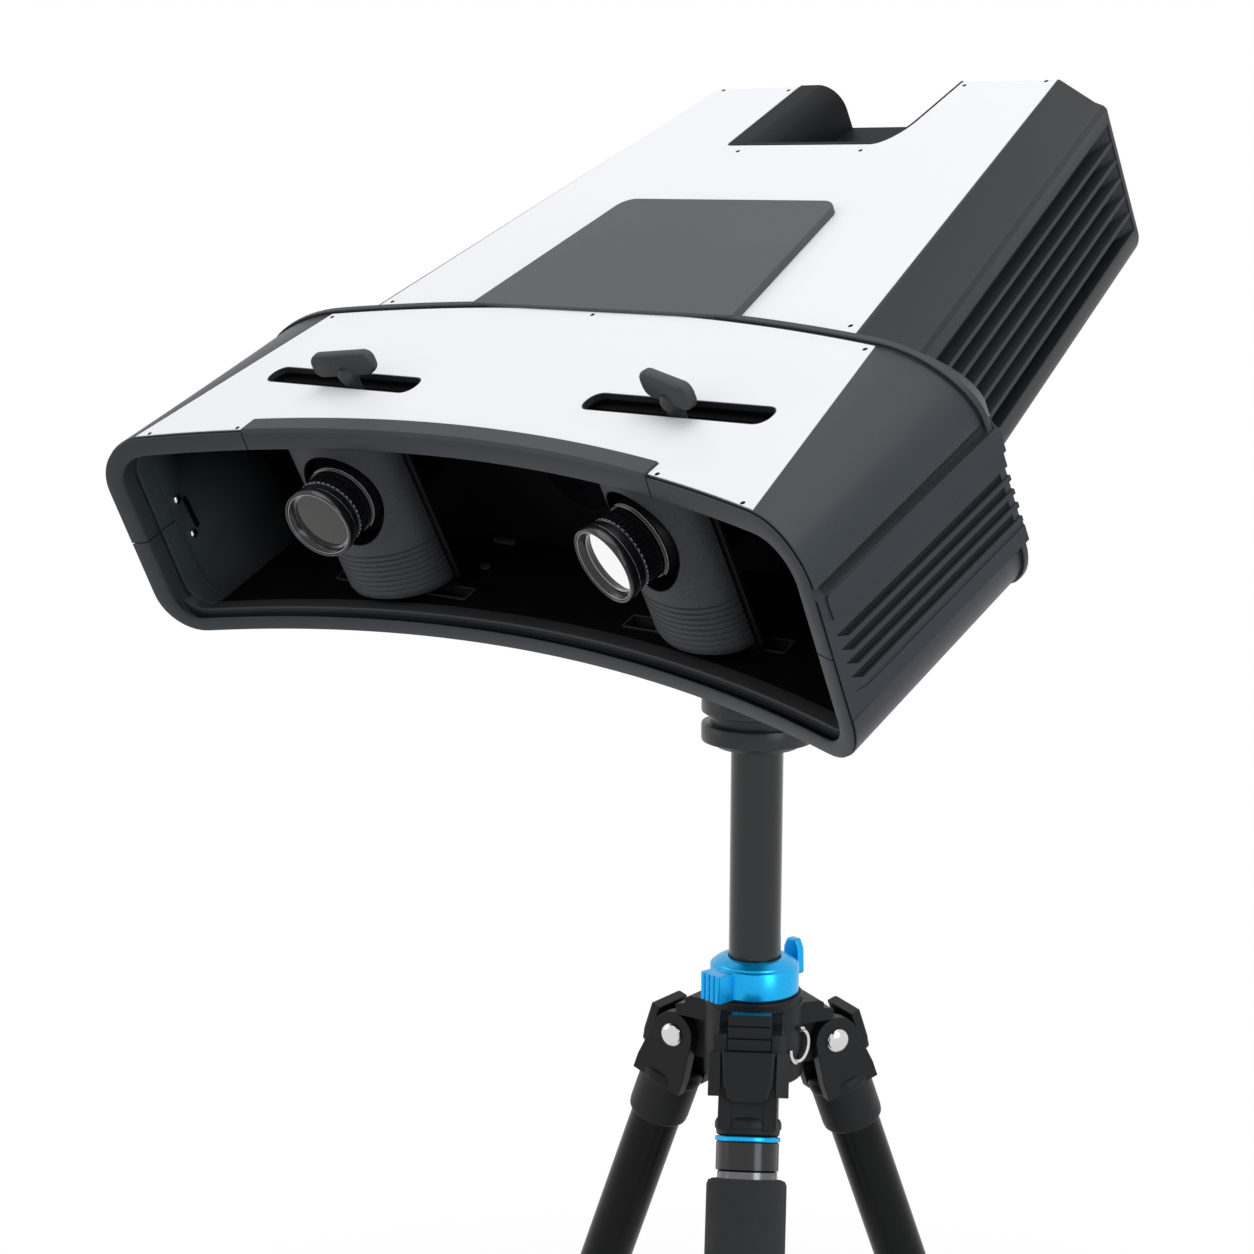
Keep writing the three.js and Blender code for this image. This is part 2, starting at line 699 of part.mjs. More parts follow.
// Camera pod, in its own frame: its flat back is y = 0 and the lens looks along -Y
function podOutline(halfWidth, depth) {
  const steps = 14;
  return Array.from({ length: steps + 1 }, (_, i) => {
    const angle = Math.PI + (Math.PI * i) / steps;
    return new THREE.Vector2(halfWidth * Math.cos(angle), depth * Math.sin(angle));
  });
}
function podCover() {
  const top = railBottom - gap;
  const outer = prism(podOutline(podHalfWidth, podDepth), -podBottom, top);
  const inner = prism(podOutline(podHalfWidth - podWall, podDepth - podWall), -podBottom + podWall, top - podWall);
  const window = alongForward(rod(podWindowHalfWidth, -overrun, podDepth + overrun, roundSides))
    .scale(1, 1, podWindowHalfHeight / podWindowHalfWidth).translate(0, 0, -lensHeight);
  return cut(outer, inner.translate(0, gap / 3, 0), window);
}
function cameraBody() {
  const top = railBottom - gap;
  const plate = box([-podHalfWidth + gap, gap, -bayFloor + gap], [podHalfWidth - gap, gap + bracketThickness, top]);
  const camera = box([-cameraHalfWidth, gap + bracketThickness / 2, -lensHeight - cameraHeight / 2], [cameraHalfWidth, gap + bracketThickness + cameraDepth, -lensHeight + cameraHeight / 2]);
  const flange = box([-flangeHalfWidth, gap, top - flangeThickness], [flangeHalfWidth, stemOffset + 2 * stemRadius, top]);
  const pin = rod(guidePinRadius, -hoodHeight + gap, -bayFloor + overrun / 4, smallSides).translate(0, pinOffset, 0);
  const bore = rod(stemRadius + gap, -hoodHeight / 3, 0, smallSides).translate(0, stemOffset, 0);
  return cut(join(plate, camera, flange, pin), bore);
}
function lensBarrel() {
  return turned([
    [0, gap / 3], [barrelRadius, gap / 3], [barrelRadius, barrelLength - stemSlide], [barrelRadius - stemSlide, barrelLength],
    [neckRadius, barrelLength], [neckRadius, barrelLength + neckLength], [0, barrelLength + neckLength],
  ]);
}
function focusRing() {
  const low = barrelLength + gap;
  return turned([
    [neckRadius + gap, low], [focusRadius, low], [focusRadius, low + focusLength], [neckRadius + gap, low + focusLength],
    [neckRadius + gap, low],
  ]);
}
const frontRingStart = barrelLength + focusLength + 2 * gap;
function frontLens() {
  const low = frontRingStart;
  const web = barrelLength + neckLength + gap;
  const rim = low + frontRingLength;
  return turned([
    [0, web], [neckRadius + gap, web], [neckRadius + gap, low], [frontRingRadius, low], [frontRingRadius, rim],
    [frontRingRadius - bracketThickness / 2, rim], [neckRadius - gap, web + glassThickness], [0, web + glassThickness],
  ]);
}
function clampLever() {
  const foot = railBottom - gap - flangeThickness - gap;
  const stem = rod(stemRadius, foot, paddleLift + paddleHeight / 2, smallSides);
  const nut = rod(stemRadius * 2, foot - flangeThickness, foot, 6);
  const round = (paddleHeight / 2) * paddleEndShare;
  const straight = paddleLength / 2 - round;
  const shape = new THREE.Shape();
  shape.absarc(straight, 0, round, -Math.PI / 2, Math.PI / 2, false);
  shape.absarc(-straight, 0, round, Math.PI / 2, Math.PI * 1.5, false);
  const paddle = prism(shape, -paddleThickness / 2, paddleThickness / 2).rotateX(Math.PI / 2)
    .translate(0, 0, paddleLift + paddleHeight / 2);
  return join(stem, nut, paddle);
}

// Inside pieces
function bulkhead() {
  const sheet = common(
    hoodLoft(hoodWall + gap, ceiling + gap, bayFloor - gap),
    box([-wide, bulkheadY, -hoodHeight], [wide, bulkheadY + bulkheadThickness, 0]),
  );
  const hole = alongForward(rod(windowRadius + gap, -rearEnd, rearEnd)).translate(0, 0, -projectorHeight);
  return cut(sheet, hole);
}
const projectorWindow = () => alongForward(rod(windowRadius, 0, bulkheadThickness));
function projectorBody() {
  const floor = -rearHeight + rearWall + gap;
  const housing = box([-projectorHalfWidth, projectorFront, floor], [projectorHalfWidth, projectorFront + projectorLength, -projectorTop]);
  const lens = alongForward(rod(projectorLensRadius, 0, projectorFront - bulkheadY - bulkheadThickness - gap + overrun / 2))
    .translate(0, projectorFront + overrun / 2, -projectorHeight);
  return join(housing, lens);
}
function controlBoard() {
  const floor = -rearHeight + rearWall + gap;
  const low = floor + standoffHeight;
  const board = box([boardX - boardWidth / 2, boardY, low], [boardX + boardWidth / 2, boardY + boardLength, low + boardThickness]);
  const inset = 2 * standoffRadius;
  const posts = [-1, 1].flatMap((side) => [0, 1].map((end) =>
    rod(standoffRadius, floor, low + boardThickness / 2, 8)
      .translate(boardX + side * (boardWidth / 2 - inset), boardY + inset + end * (boardLength - 2 * inset), 0)));
  const chips = [0, 1, 2].map((i) => box(
    [boardX - boardWidth / 4, boardY + inset + (i * boardLength) / 3, low + boardThickness / 2],
    [boardX + boardWidth / 6, boardY + inset + (i * boardLength) / 3 + boardLength / 6, low + boardThickness * 3],
  ));
  return join(board, ...posts, ...chips);
}
const fanFace = rearEnd - rearWall - gap;
function fanFrame() {
  const half = fanSize / 2;
  const frame = box([-half, fanFace - fanDepth, -fanHeight - half], [half, fanFace, -fanHeight + half]);
  const duct = alongForward(rod(fanRadius, -rearEnd, rearEnd)).translate(0, 0, -fanHeight);
  const strut = box([-half + fanStrut / 2, fanFace - fanDepth, -fanHeight - fanStrut], [half - fanStrut / 2, fanFace - fanDepth + fanStrut, -fanHeight + fanStrut]);
  const pillar = box([-fanStrut * 2, fanFace - fanDepth, -fanHeight - half + fanStrut / 2], [fanStrut * 2, fanFace - fanDepth + fanStrut, -fanHeight + half - fanStrut / 2]);
  return join(cut(frame, duct), strut, pillar);
}
function fanRotor() {
  const low = fanStrut + gap;
  const high = fanDepth - fanStrut;
  const hub = rod(fanHubRadius, low, high, smallSides);
  const blades = Array.from({ length: fanBladeCount }, (_, i) =>
    box([-fanStrut / 2, fanHubRadius / 2, -(high - low) / 2], [fanStrut / 2, fanRadius - stemSlide * 2, (high - low) / 2])
      .rotateY(bladePitch).scale(1, 1, roundShare).translate(0, 0, (high + low) / 2).rotateZ((2 * Math.PI * i) / fanBladeCount));
  return join(hub, ...blades).rotateX(-Math.PI / 2);
}

// Pan and tilt head, about its own axes
function headBase() {
  const disc = columnTop + baseFootHeight;
  const groove = disc + baseDiscHeight;
  const solid = turned([
    [0, columnTop], [baseFootRadius, columnTop], [baseFootRadius, disc], [turntableRadius - stemSlide, disc],
    [turntableRadius, disc + stemSlide], [turntableRadius, groove - stemSlide], [turntableRadius - stemSlide, groove],
    [grooveRadius, groove], [grooveRadius, baseTop], [0, baseTop],
  ]);
  const bore = alongForward(rod(panShaft + gap, -turntableRadius - overrun, -turntableRadius / 2, smallSides))
    .rotateZ(panKnobTurn).translate(0, 0, disc + baseDiscHeight / 2);
  return cut(solid, bore);
}
const panKnobHeight = columnTop + baseFootHeight + baseDiscHeight / 2;
function panKnob() {
  const shaft = rod(panShaft, -turntableRadius - overrun / 2, -turntableRadius / 2 - gap, smallSides);
  const grip = rod(panKnobRadius, -turntableRadius - panKnobLength - gap, -turntableRadius - 2 * gap, smallSides);
  return alongForward(join(shaft, grip)).rotateZ(panKnobTurn);
}
function panTurret() {
  const low = baseTop + gap;
  const turntable = turned([
    [0, low], [turntableRadius - stemSlide, low], [turntableRadius, low + stemSlide], [turntableRadius, low + turntableHeight - stemSlide],
    [turntableRadius - stemSlide, low + turntableHeight], [turretNeck, low + turntableHeight],
    [turretNeck, low + 2 * turntableHeight], [0, low + 2 * turntableHeight],
  ]);
  const outer = cheekGap + cheekThickness;
  const floorLow = low + 2 * turntableHeight - gap;
  const floorPiece = box([-outer, -cheekHalfDepth, floorLow], [outer, cheekHalfDepth, floorLow + yokeFloor]);
  const cheek = (side) => {
    const ends = [side * cheekGap, side * outer].sort((a, b) => a - b);
    const plate = box([ends[0], -cheekHalfDepth, floorLow], [ends[1], cheekHalfDepth, trunnionHeight]);
    return join(plate, alongX(rod(cheekHalfDepth, ends[0], ends[1])).translate(0, 0, trunnionHeight));
  };
  const shaftBore = alongX(rod(tiltShaft + gap, 0, outer + overrun, smallSides)).translate(0, 0, trunnionHeight);
  const pinBore = alongX(rod(trunnionPin + gap, -outer - overrun, 0, smallSides)).translate(0, 0, trunnionHeight);
  return cut(join(turntable, floorPiece, cheek(1), cheek(-1)), shaftBore, pinBore);
}
const cradleTop = trunnionDrop - rearHeight;
function tiltCradle() {
  const half = cheekGap - gap;
  const barrel = alongX(rod(cradleRadius, -half, half));
  const pin = alongX(rod(trunnionPin, -cheekGap - cheekThickness + gap, 0, smallSides));
  const neckHalf = cradlePlateDepth / 4;
  const neck = box([-half + gap, -neckHalf * roundShare, 0], [half - gap, neckHalf * roundShare, cradleTop - gap - cradlePlateThickness / 2]);
  const plate = box([-cradlePlateWidth / 2, -cradlePlateDepth / 2, cradleTop - gap - cradlePlateThickness], [cradlePlateWidth / 2, cradlePlateDepth / 2, cradleTop - gap]);
  const bore = alongX(rod(tiltShaft + gap, cheekGap / 2, cheekGap + overrun, smallSides));
  return cut(join(barrel, pin, neck, plate), bore);
}
function tiltKnob() {
  const face = cheekGap + cheekThickness + gap;
  const shaft = rod(tiltShaft, cheekGap / 2 + gap, face + overrun / 2, smallSides);
  const grip = turned([
    [0, face], [tiltKnobRadius * roundShare, face], [tiltKnobRadius, face + tiltKnobLength / 4],
    [tiltKnobRadius, face + tiltKnobLength * roundShare], [tiltKnobRadius * roundShare, face + tiltKnobLength], [0, face + tiltKnobLength],
  ], 20);
  return alongX(join(shaft, grip));
}

// Column, clamp and crown
function column() {
  const low = columnTop - columnLength;
  const inner = columnRadius - columnWall;
  return turned([
    [inner, low], [columnRadius, low], [columnRadius, columnTop - gap], [0, columnTop - gap],
    [0, columnTop - gap - columnWall], [inner, columnTop - gap - columnWall], [inner, low],
  ]);
}
function columnCollar() {
  const bore = columnRadius + gap;
  const cone = collarTop - clampConeHeight;
  const ring = turned([
    [bore, collarBottom], [clampRadius, collarBottom], [clampRadius, cone], [clampRadius - columnWall, cone],
    [clampConeRadius, collarTop], [bore, collarTop], [bore, collarBottom],
  ]);
  const ear = box([-clampRadius - earReach, -earWidth / 2, collarBottom], [-clampRadius + columnWall, earWidth / 2, collarBottom + earHeight])
    .rotateZ(earTurn);
  const boss = alongX(rod(wingShaft + gap, clampRadius - 3 * columnWall, clampRadius + overrun, smallSides)).translate(0, 0, cone - columnWall * 3)
    .rotateZ(wingTurn);
  return cut(join(ring, ear), boss);
}
function wingKnob() {
  const reach = clampRadius + wingReach;
  const shaft = alongX(rod(wingShaft, clampRadius - 3 * columnWall + gap, reach, smallSides));
  const wing = box([reach - wingThickness, -wingWidth / 2, -wingWidth / 2], [reach, wingWidth / 2, wingLength - wingWidth / 2]);
  return join(shaft, wing);
}

const headingAngle = (degrees) => THREE.MathUtils.degToRad(degrees);
// Turns a piece drawn towards -Y to a leg's heading
const toHeading = (geometry, degrees) => geometry.rotateZ(headingAngle(degrees));
function crown() {
  const low = hingeHeight - crownDrop;
  const top = crownTop;
  const hub = turned([[0, low], [crownRadius, low], [crownRadius, top], [0, top]]);
  const arms = Object.values(legHeadings).flatMap((degrees) => {
    const tongue = join(
      box([-tongueWidth / 2, -hingeRadius, hingeHeight - tongueRadius], [tongueWidth / 2, 0, hingeHeight + tongueRadius]),
      alongX(rod(tongueRadius, -tongueWidth / 2, tongueWidth / 2, smallSides)).translate(0, -hingeRadius, hingeHeight),
    );
    const cap = box([-capWidth / 2, -capReach, hingeHeight + tongueRadius - columnWall], [capWidth / 2, 0, top - capDrop]);
    return [toHeading(tongue, degrees), toHeading(cap, degrees)];
  });
  const bores = Object.values(legHeadings).map((degrees) =>
    toHeading(alongX(rod(boltRadius + gap, -tongueWidth, tongueWidth, smallSides)).translate(0, -hingeRadius, hingeHeight), degrees));
  const through = rod(columnRadius + gap, low - overrun, top + overrun);
  return cut(join(hub, ...arms), through, ...bores);
}

// Leg pieces, with the hinge bolt's axis along X at the origin and the leg along -Z
const forkOuter = tongueWidth / 2 + gap + legCheek;
function legBolt() {
  const end = forkOuter + gap;
  return alongX(turned([
    [0, -end - boltHeadHeight], [boltHeadRadius, -end - boltHeadHeight], [boltHeadRadius, -end], [boltRadius, -end],
    [boltRadius, end], [boltHeadRadius, end], [boltHeadRadius, end + boltHeadHeight], [0, end + boltHeadHeight],
  ], smallSides));
}
const socketEnd = cheekLength + socketLength;
function legUpper(sleeved) {
  const cheek = (side) => {
    const ends = [side * (tongueWidth / 2 + gap), side * forkOuter].sort((a, b) => a - b);
    return join(
      alongX(rod(cheekRadius, ends[0], ends[1], smallSides)),
      box([ends[0], -cheekRadius, -cheekLength - boltHeadHeight], [ends[1], cheekRadius, 0]),
    );
  };
  const tube = turned([
    [legBore, -legLength], [twistRadius, -legLength], [twistRadius, -legLength + twistLength],
    [legRadius, -legLength + twistLength], [legRadius, -socketEnd], [socketRadius, -socketEnd + boltHeadHeight],
    [socketRadius, -cheekLength], [0, -cheekLength], [0, -lowerStart + boltHeadHeight], [legBore, -lowerStart + boltHeadHeight],
    [legBore, -legLength],
  ]);
  const bore = alongX(rod(boltRadius + gap, -forkOuter - overrun, forkOuter + overrun, smallSides));
  const plain = cut(join(tube, cheek(1), cheek(-1)), bore);
  if (!sleeved) return plain;
  const inner = legRadius - lowerWall / 2;
  return join(plain, turned([
    [inner, -foamStart + gap], [sleeveRadius, -foamStart + gap], [sleeveRadius, -socketEnd + boltHeadHeight * 2],
    [inner, -socketEnd + boltHeadHeight * 2], [inner, -foamStart + gap],
  ]));
}
function legLower() {
  const end = -lowerStart - lowerLength;
  const inner = lowerRadius - lowerWall;
  return turned([
    [0, end], [lowerRadius, end], [lowerRadius, -lowerStart], [inner, -lowerStart], [inner, end + footLength / 2],
    [0, end + footLength / 2],
  ]);
}
// The foot is cut flat where it stands
function foot() {
  const top = -lowerStart - lowerLength - gap;
  const half = footLength / 2;
  const rounded = Array.from({ length: 5 }, (_, i) => {
    const angle = -Math.PI / 2 + (Math.PI / 2) * (i / 4);
    return [i === 0 ? 0 : footRadius * Math.cos(angle), top - half + (footLength - half) * Math.sin(angle)];
  });
  const solid = turned([...rounded, [footRadius, top - half / 2], [lowerRadius, top], [0, top]], 20);
  const sole = box([-footReach, -footReach, -footLength], [footReach, footReach, 0])
    .translate(0, 0, -hingeHeight).rotateX(legSpread);
  return cut(solid, sole);
}
function angleLock() {
  const back = -cheekRadius - gap;
  return box([-lockWidth / 2, back - lockThickness, -lockReach], [lockWidth / 2, back, lockLength - lockReach]);
}
function foamGrip() {
  const low = -foamStart - foamLength;
  return turned([
    [legRadius + gap, low], [foamRadius - columnWall, low], [foamRadius, low + columnWall], [foamRadius, -foamStart - columnWall],
    [foamRadius - columnWall, -foamStart], [legRadius + gap, -foamStart], [legRadius + gap, low],
  ]);
}
const hookReach = crownRadius + hookWire + gap;
function hook() {
  const turns = [];
  for (let i = 0; i <= 12; i += 1) {
    const angle = Math.PI * 1.5 * (i / 12);
    turns.push(new THREE.Vector3(0, hookRadius * Math.sin(angle), hookRadius * Math.cos(angle)));
  }
  const path = new THREE.CatmullRomCurve3(turns);
  const section = new THREE.Shape();
  section.absarc(0, 0, hookWire, 0, Math.PI * 2, false);
  return new THREE.ExtrudeGeometry(section, { extrudePath: path, steps: 16, curveSegments: 3, bevelEnabled: false });
}

// Assembly
const group = (...children) => {
  const made = new THREE.Group();
  if (children.length > 0) made.add(...children);
  return made;
};
function piece(name, geometry, finish, place) {
  const made = new THREE.Mesh(toGeometry(toSolid(geometry)), finish);
  made.name = name;
  if (place) made.position.set(...place);
  return made;
}

const shell = hoodShell();
const scanner = group(
  piece("front_upper_shell", frontUpperShell(shell), blackPlastic),
  piece("front_lower_shell", frontLowerShell(shell), blackPlastic),
  piece("front_top_panel", frontTopPanel(), whitePanel),
  piece("front_trim_strip", trimSolid(0), greyPlastic),
  piece("right_side_pad", sidePad(), blackPlastic),
  piece("left_side_pad", mirrored(sidePad()), blackPlastic),
  piece("rear_collar", rearCollar(), blackPlastic),
  piece("rear_shell", rearShell(), blackPlastic),
  piece("rear_top_panel", rearTopPanel(), whitePanel),
  piece("cover_plate", coverPlate(), greyPlastic),
  piece("cable_recess", cableRecess(), blackPlastic),
  piece("connector_panel", connectorPanel(), greyPlastic),
  piece("power_button", powerButton(), greyPlastic, buttonPlace),
  piece("carriage_rail", carriageRail(), blackMetal),
  piece("bulkhead", bulkhead(), blackPlastic),
  piece("projector_window", projectorWindow(), glass, [0, bulkheadY + bulkheadThickness, -projectorHeight]),
  piece("projector_body", projectorBody(), blackMetal),
  piece("control_board", controlBoard(), circuit),
  piece("fan_frame", fanFrame(), blackPlastic),
  piece("fan_rotor", fanRotor(), blackPlastic, [0, fanFace - fanDepth, -fanHeight]),
);
const rightGrille = piece("right_vent_grille", sideFrame(ventGrille()), greyPlastic);
const leftGrille = piece("left_vent_grille", mirrored(sideFrame(ventGrille())), greyPlastic);
scanner.add(rightGrille, leftGrille);

// side is -1 for the left camera and 1 for the right one, as seen from the front
function cameraCarriage(name, side, stem) {
  const pod = group(
    piece(`${name}_pod_cover`, podCover(), greyPlastic),
    piece(`${name}_camera_body`, cameraBody(), blackMetal),
    piece(`${name}_lens_barrel`, alongForward(lensBarrel()), blackMetal, [0, 0, -lensHeight]),
    piece(`${name}_focus_ring`, alongForward(focusRing()), blackMetal, [0, 0, -lensHeight]),
    piece(`${name}_front_lens`, alongForward(frontLens()), glass, [0, 0, -lensHeight]),
    piece(`${name}_clamp_lever`, clampLever(), greyPlastic, [0, stemOffset, 0]),
  );
  pod.rotation.z = -side * toeIn;
  if (side > 0) pod.getObjectByName(`${name}_clamp_lever`).rotation.z = rightLeverTurn;
  pod.position.set(side * (stem - stemOffset * Math.sin(toeIn)), podBack, 0);
  return pod;
}
scanner.add(cameraCarriage("left", -1, leftStem), cameraCarriage("right", 1, rightStem));
scanner.position.set(0, -trunnionBack, trunnionDrop);

const tilting = group(scanner, piece("tilt_cradle", tiltCradle(), blackMetal));
tilting.rotation.x = headTilt;
tilting.position.z = trunnionHeight;

const head = group(
  piece("head_base", headBase(), blackMetal),
  piece("pan_turret", panTurret(), blackMetal),
  piece("pan_knob", panKnob(), rubber, [0, 0, panKnobHeight]),
  piece("tilt_knob", tiltKnob(), rubber, [0, 0, trunnionHeight]),
);

const wing = piece("column_wing_knob", wingKnob(), blueMetal, [0, 0, collarTop - clampConeHeight - columnWall * 3]);
wing.rotation.z = wingTurn;
const weightHook = piece("weight_hook", hook(), steel);
weightHook.rotation.z = hookTurn;
weightHook.position.set(hookReach * Math.cos(hookTurn), hookReach * Math.sin(hookTurn), hingeHeight + hookRadius / 2);
const stand = group(
  piece("column", column(), blackMetal),
  piece("column_collar", columnCollar(), blueMetal),
  piece("crown", crown(), blackMetal),
  wing,
  weightHook,
);

function leg(name, degrees) {
  const made = group(
    piece(`${name}_leg_upper`, legUpper(name === "front"), blackMetal),
    piece(`${name}_leg_bolt`, legBolt(), steel),
    piece(`${name}_leg_lower`, legLower(), blackMetal),
    piece(`${name}_foot`, foot(), rubber),
    piece(`${name}_angle_lock`, angleLock(), blackPlastic),
  );
  if (name === "front") made.add(piece("foam_grip", foamGrip(), foam));
  made.rotation.x = -legSpread;
  const arm = group(made);
  made.position.set(0, -hingeRadius, hingeHeight);
  arm.rotation.z = headingAngle(degrees);
  return arm;
}
Object.entries(legHeadings).forEach(([name, degrees]) => stand.add(leg(name, degrees)));

// The origin lies under the middle of the whole, on the ground
const whole = group(tilting, head, stand);
const part = group(whole);
part.updateMatrixWorld(true);
const bounds = new THREE.Box3().setFromObject(part, true);
const middle = bounds.getCenter(new THREE.Vector3());
whole.position.set(-middle.x, -middle.y, -bounds.min.z);

export default part;
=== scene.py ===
"""Looks for a measuring scanner on a tripod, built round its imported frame.

The scanner's own frame has its origin at the middle of the hood's front edge, on the face of the white
front panel, with +X to the right and +Y to the rear. Lengths are millimetres, and a piece becomes metres
when it is settled into the row frame.
"""
import json
import math

import bmesh
import bpy
from mathutils import Matrix, Vector


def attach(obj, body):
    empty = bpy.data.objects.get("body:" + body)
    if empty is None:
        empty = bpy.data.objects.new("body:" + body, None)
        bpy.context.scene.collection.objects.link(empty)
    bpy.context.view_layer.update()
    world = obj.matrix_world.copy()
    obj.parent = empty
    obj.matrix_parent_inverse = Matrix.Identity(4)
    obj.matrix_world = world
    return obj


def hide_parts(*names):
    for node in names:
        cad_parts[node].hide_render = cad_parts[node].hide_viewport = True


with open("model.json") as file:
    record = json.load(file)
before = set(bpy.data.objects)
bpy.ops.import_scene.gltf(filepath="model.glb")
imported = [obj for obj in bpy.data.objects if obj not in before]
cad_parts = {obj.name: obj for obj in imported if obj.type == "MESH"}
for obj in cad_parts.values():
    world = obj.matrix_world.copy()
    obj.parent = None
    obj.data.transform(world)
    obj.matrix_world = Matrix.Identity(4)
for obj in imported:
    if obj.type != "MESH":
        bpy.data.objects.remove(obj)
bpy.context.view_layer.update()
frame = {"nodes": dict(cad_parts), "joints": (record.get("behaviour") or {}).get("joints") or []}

# Units and clearances
MM = 0.001
gap = 0.3
overrun = 12.0
merge_distance = 0.002
overlap = 1.0  # how far a piece reaches into the one that it joins

# Edge roundings
rotor_edge = 0.2
fine_edge = 0.25
small_edge = 0.3
lip_edge = 0.4
soft_edge = 0.5
knob_edge = 0.6
broad_edge = 0.8
full_edge = 0.9

# Steps round curves
corner_steps = 10
hood_steps = 16
side_steps = 3
lip_steps = 48
lip_turn_steps = 8

# Posture
head_tilt = math.radians(28.3)
toe_in = math.radians(11)
trunnion_back = 199.5
trunnion_drop = 150.5

# Hood
hood_half = 235.0
hood_height = 116.0
hood_corner = 25.0
hood_top_drop = 0.4
shoulder_height = 29.0
seam_rise = 56.0
seam_width = 0.7
bay_floor_rise = 8.0
bezel_width = 8.0
bezel_lean = 7.0
bezel_round = 1.1
bezel_lip_width = 10.5
bezel_lip_depth = 9.0
bezel_groove_depth = 1.6
bezel_groove_start = 0.7
bezel_groove_width = 0.9
groove_stop = bezel_groove_start + bezel_groove_width
bezel_edge = (  # (inset, depth) from the outer skin over the groove to the face
    (0, groove_stop + 0.4),
    (0.4, groove_stop),
    (bezel_groove_depth, groove_stop),
    (bezel_groove_depth, bezel_groove_start),
    (0.5, bezel_groove_start),
    (0.65, bezel_groove_start * 0.3),
    (1.1, 0),
)
lip_rounding = ((1, 0), (0.4, 0.15), (0.1, 0.5), (0, 1))  # shares of bezel_round: inward, back
lip_step = 2.0
lining = 0.4
lining_front = 11.5
front_arc_radius = 778.6
front_arc_middle = 26.5
rear_arc_radius = 972.0
rear_arc_middle = 142.0
bay_rear = 95.0
back_wall = 12.0
bay_sink = 2.0
rear_rim_inset = 0.3
lip_groove_depth = 5.0
lip_groove_width = 4.2
lip_end_turn = math.radians(66)
lip_root = 3.6
lip_width = 9.0
lip_rise = 2.2
lip_setback = 0.6
lip_profile = (  # (depth, height)
    (0, -lip_root),
    (0, lip_rise * 0.7),
    (0.6, lip_rise),
    (lip_width - 1, lip_rise * 0.75),
    (lip_width, lip_rise * 0.4),
    (lip_width, -lip_root),
)
# The dark strip in the groove in front of the lip: painted shade.
groove_shade_profile = (
    (0.2 - lip_groove_width, -lip_groove_depth - 0.5),
    (0.2 - lip_groove_width, -2.6),
    (-0.8, -2.6),
    (-0.8, -lip_groove_depth - 0.5),
)

# Bay walls and what is screwed to them
wall_start = 2.0
wall_depth = 78.0
flange_depth = 11.0
flange_rise = 1.3
flange_top = 14.0
bay_screws = (51.5, 73.0)
bay_screw_depth = 17.6
bay_screw_profile = ((0, -1), (2.6, -1), (2.6, 0.6), (2.2, 1.4), (1.3, 1.9), (0, 2.1))
bay_slot_offset = 4.6
bay_slot_half = 1.5
bay_slot_reach = 9.5
bay_slot_round = 1.4
bay_slot_rise = 0.2
clip_sink = 0.2
bay_clips = ((69.4, 88.0, 7.5, 1.6, 1.8), (63.7, 66.4, 3.0, 1.8, 1.2))

# Painted light on the bay's left end wall: a lit grey spot and a lit band at its front, fading into painted
# shade
lit_spot_middle = (-227.0, 28.0, -84.0)
lit_spot_reach = 42.0
lit_band_front = 10.0
lit_band_fade = 20.0

# White front panel, its trim and slots
panel_front_half = 204.0
panel_rear_half = 181.0
panel_edge_length = 125.0
panel_front_reach = -10.0
panel_rear_reach = 128.0
panel_thickness = 2.0
panel_lip = 2.0
trim_half = 135.5
trim_depth = 10.0
trim_rise = 1.2
trim_slit = 0.8
slot_inner = 57.0
slot_outer = 167.0
slot_middle = 66.0
slot_half_width = 7.25
slot_round = 6.5
slot_rim = 0.5
slot_rim_depth = 3.2
front_screws = ((177.3, 121.6), (198.1, 4.3), (141.0, 17.1))
middle_screw = (0.0, 137.4)
rear_screws = ((152.8, 143.6), (50.1, 254.7), (41.2, 309.0), (59.3, 380.0), (108.5, 382.3))
rim_width = 0.9
rim_rise = 0.5
screw_radius = 1.15
screw_rise = 0.2
screw_root = 1.5

# Levers
stem_radius = 4.0
stem_offset = 22.0
left_stem = 101.8
right_stem = 113.8
travel_inner = 62.0
travel_outer = 152.0
right_lever_turn = math.radians(-6)
paddle_length = 38.0
paddle_height = 12.5
paddle_thickness = 5.5
paddle_lift = 5.0
paddle_sections = ((-0.5, 0.90), (-0.38, 0.97), (-0.2, 1.0), (0.2, 1.0), (0.38, 0.97), (0.5, 0.90))
stem_foot = 18.0
stem_flange = 3.6
stem_step = 4.0
stem_steps = ((0, 1.5), (-1.0, 3.0), (-1.6, paddle_lift + 1), (0, paddle_lift + 4))

# Pods and lenses
pod_back = 42.2
pod_half = 32.0
pod_depth = 20.0
pod_top = 10.9
pod_bottom = 103.0
pod_edge = 0.6
pod_foot_steps = ((5.0, 0), (1.6, 0.9), (0, 3.0))
backplate_reach = 2.6
backplate_near = 1.2
backplate_far = 3.4
pin_offset = 1.8
pin_reach = 3.5
guide_slot_half = 4.0
pod_groove_count = 8
pod_groove_pitch = 2.9
pod_groove_depth = 0.7
pod_groove_first = 75.0
pod_groove_step = 0.5
recess_half_width = 22.0
recess_half_height = 26.0
recess_sink = 6.0
well_play = 0.1
well_start = 0.2
well_floor = 2.2
lens_height = 42.5
barrel_radius = 19.6
barrel_length = 20.0
barrel_foot = 0.5
neck_length = 12.5
neck_radius = 15.0
focus_radius = 17.8
focus_length = 10.0
front_ring_radius = 18.8
front_ring_length = 9.5
knurl_count = 44
knurl_depth = 0.9
dash_count = 40
funnel_radius = 15.2
funnel_depth = 4.2
funnel_skin = 0.5
funnel_bend = 2.7
front_ring_wall = 1.5
glass_lip = 0.6
glass_sink = 0.1
dome_steps = ((0.8, 0.12), (0.55, 0.24), (0.3, 0.32))
dome_top = 0.45
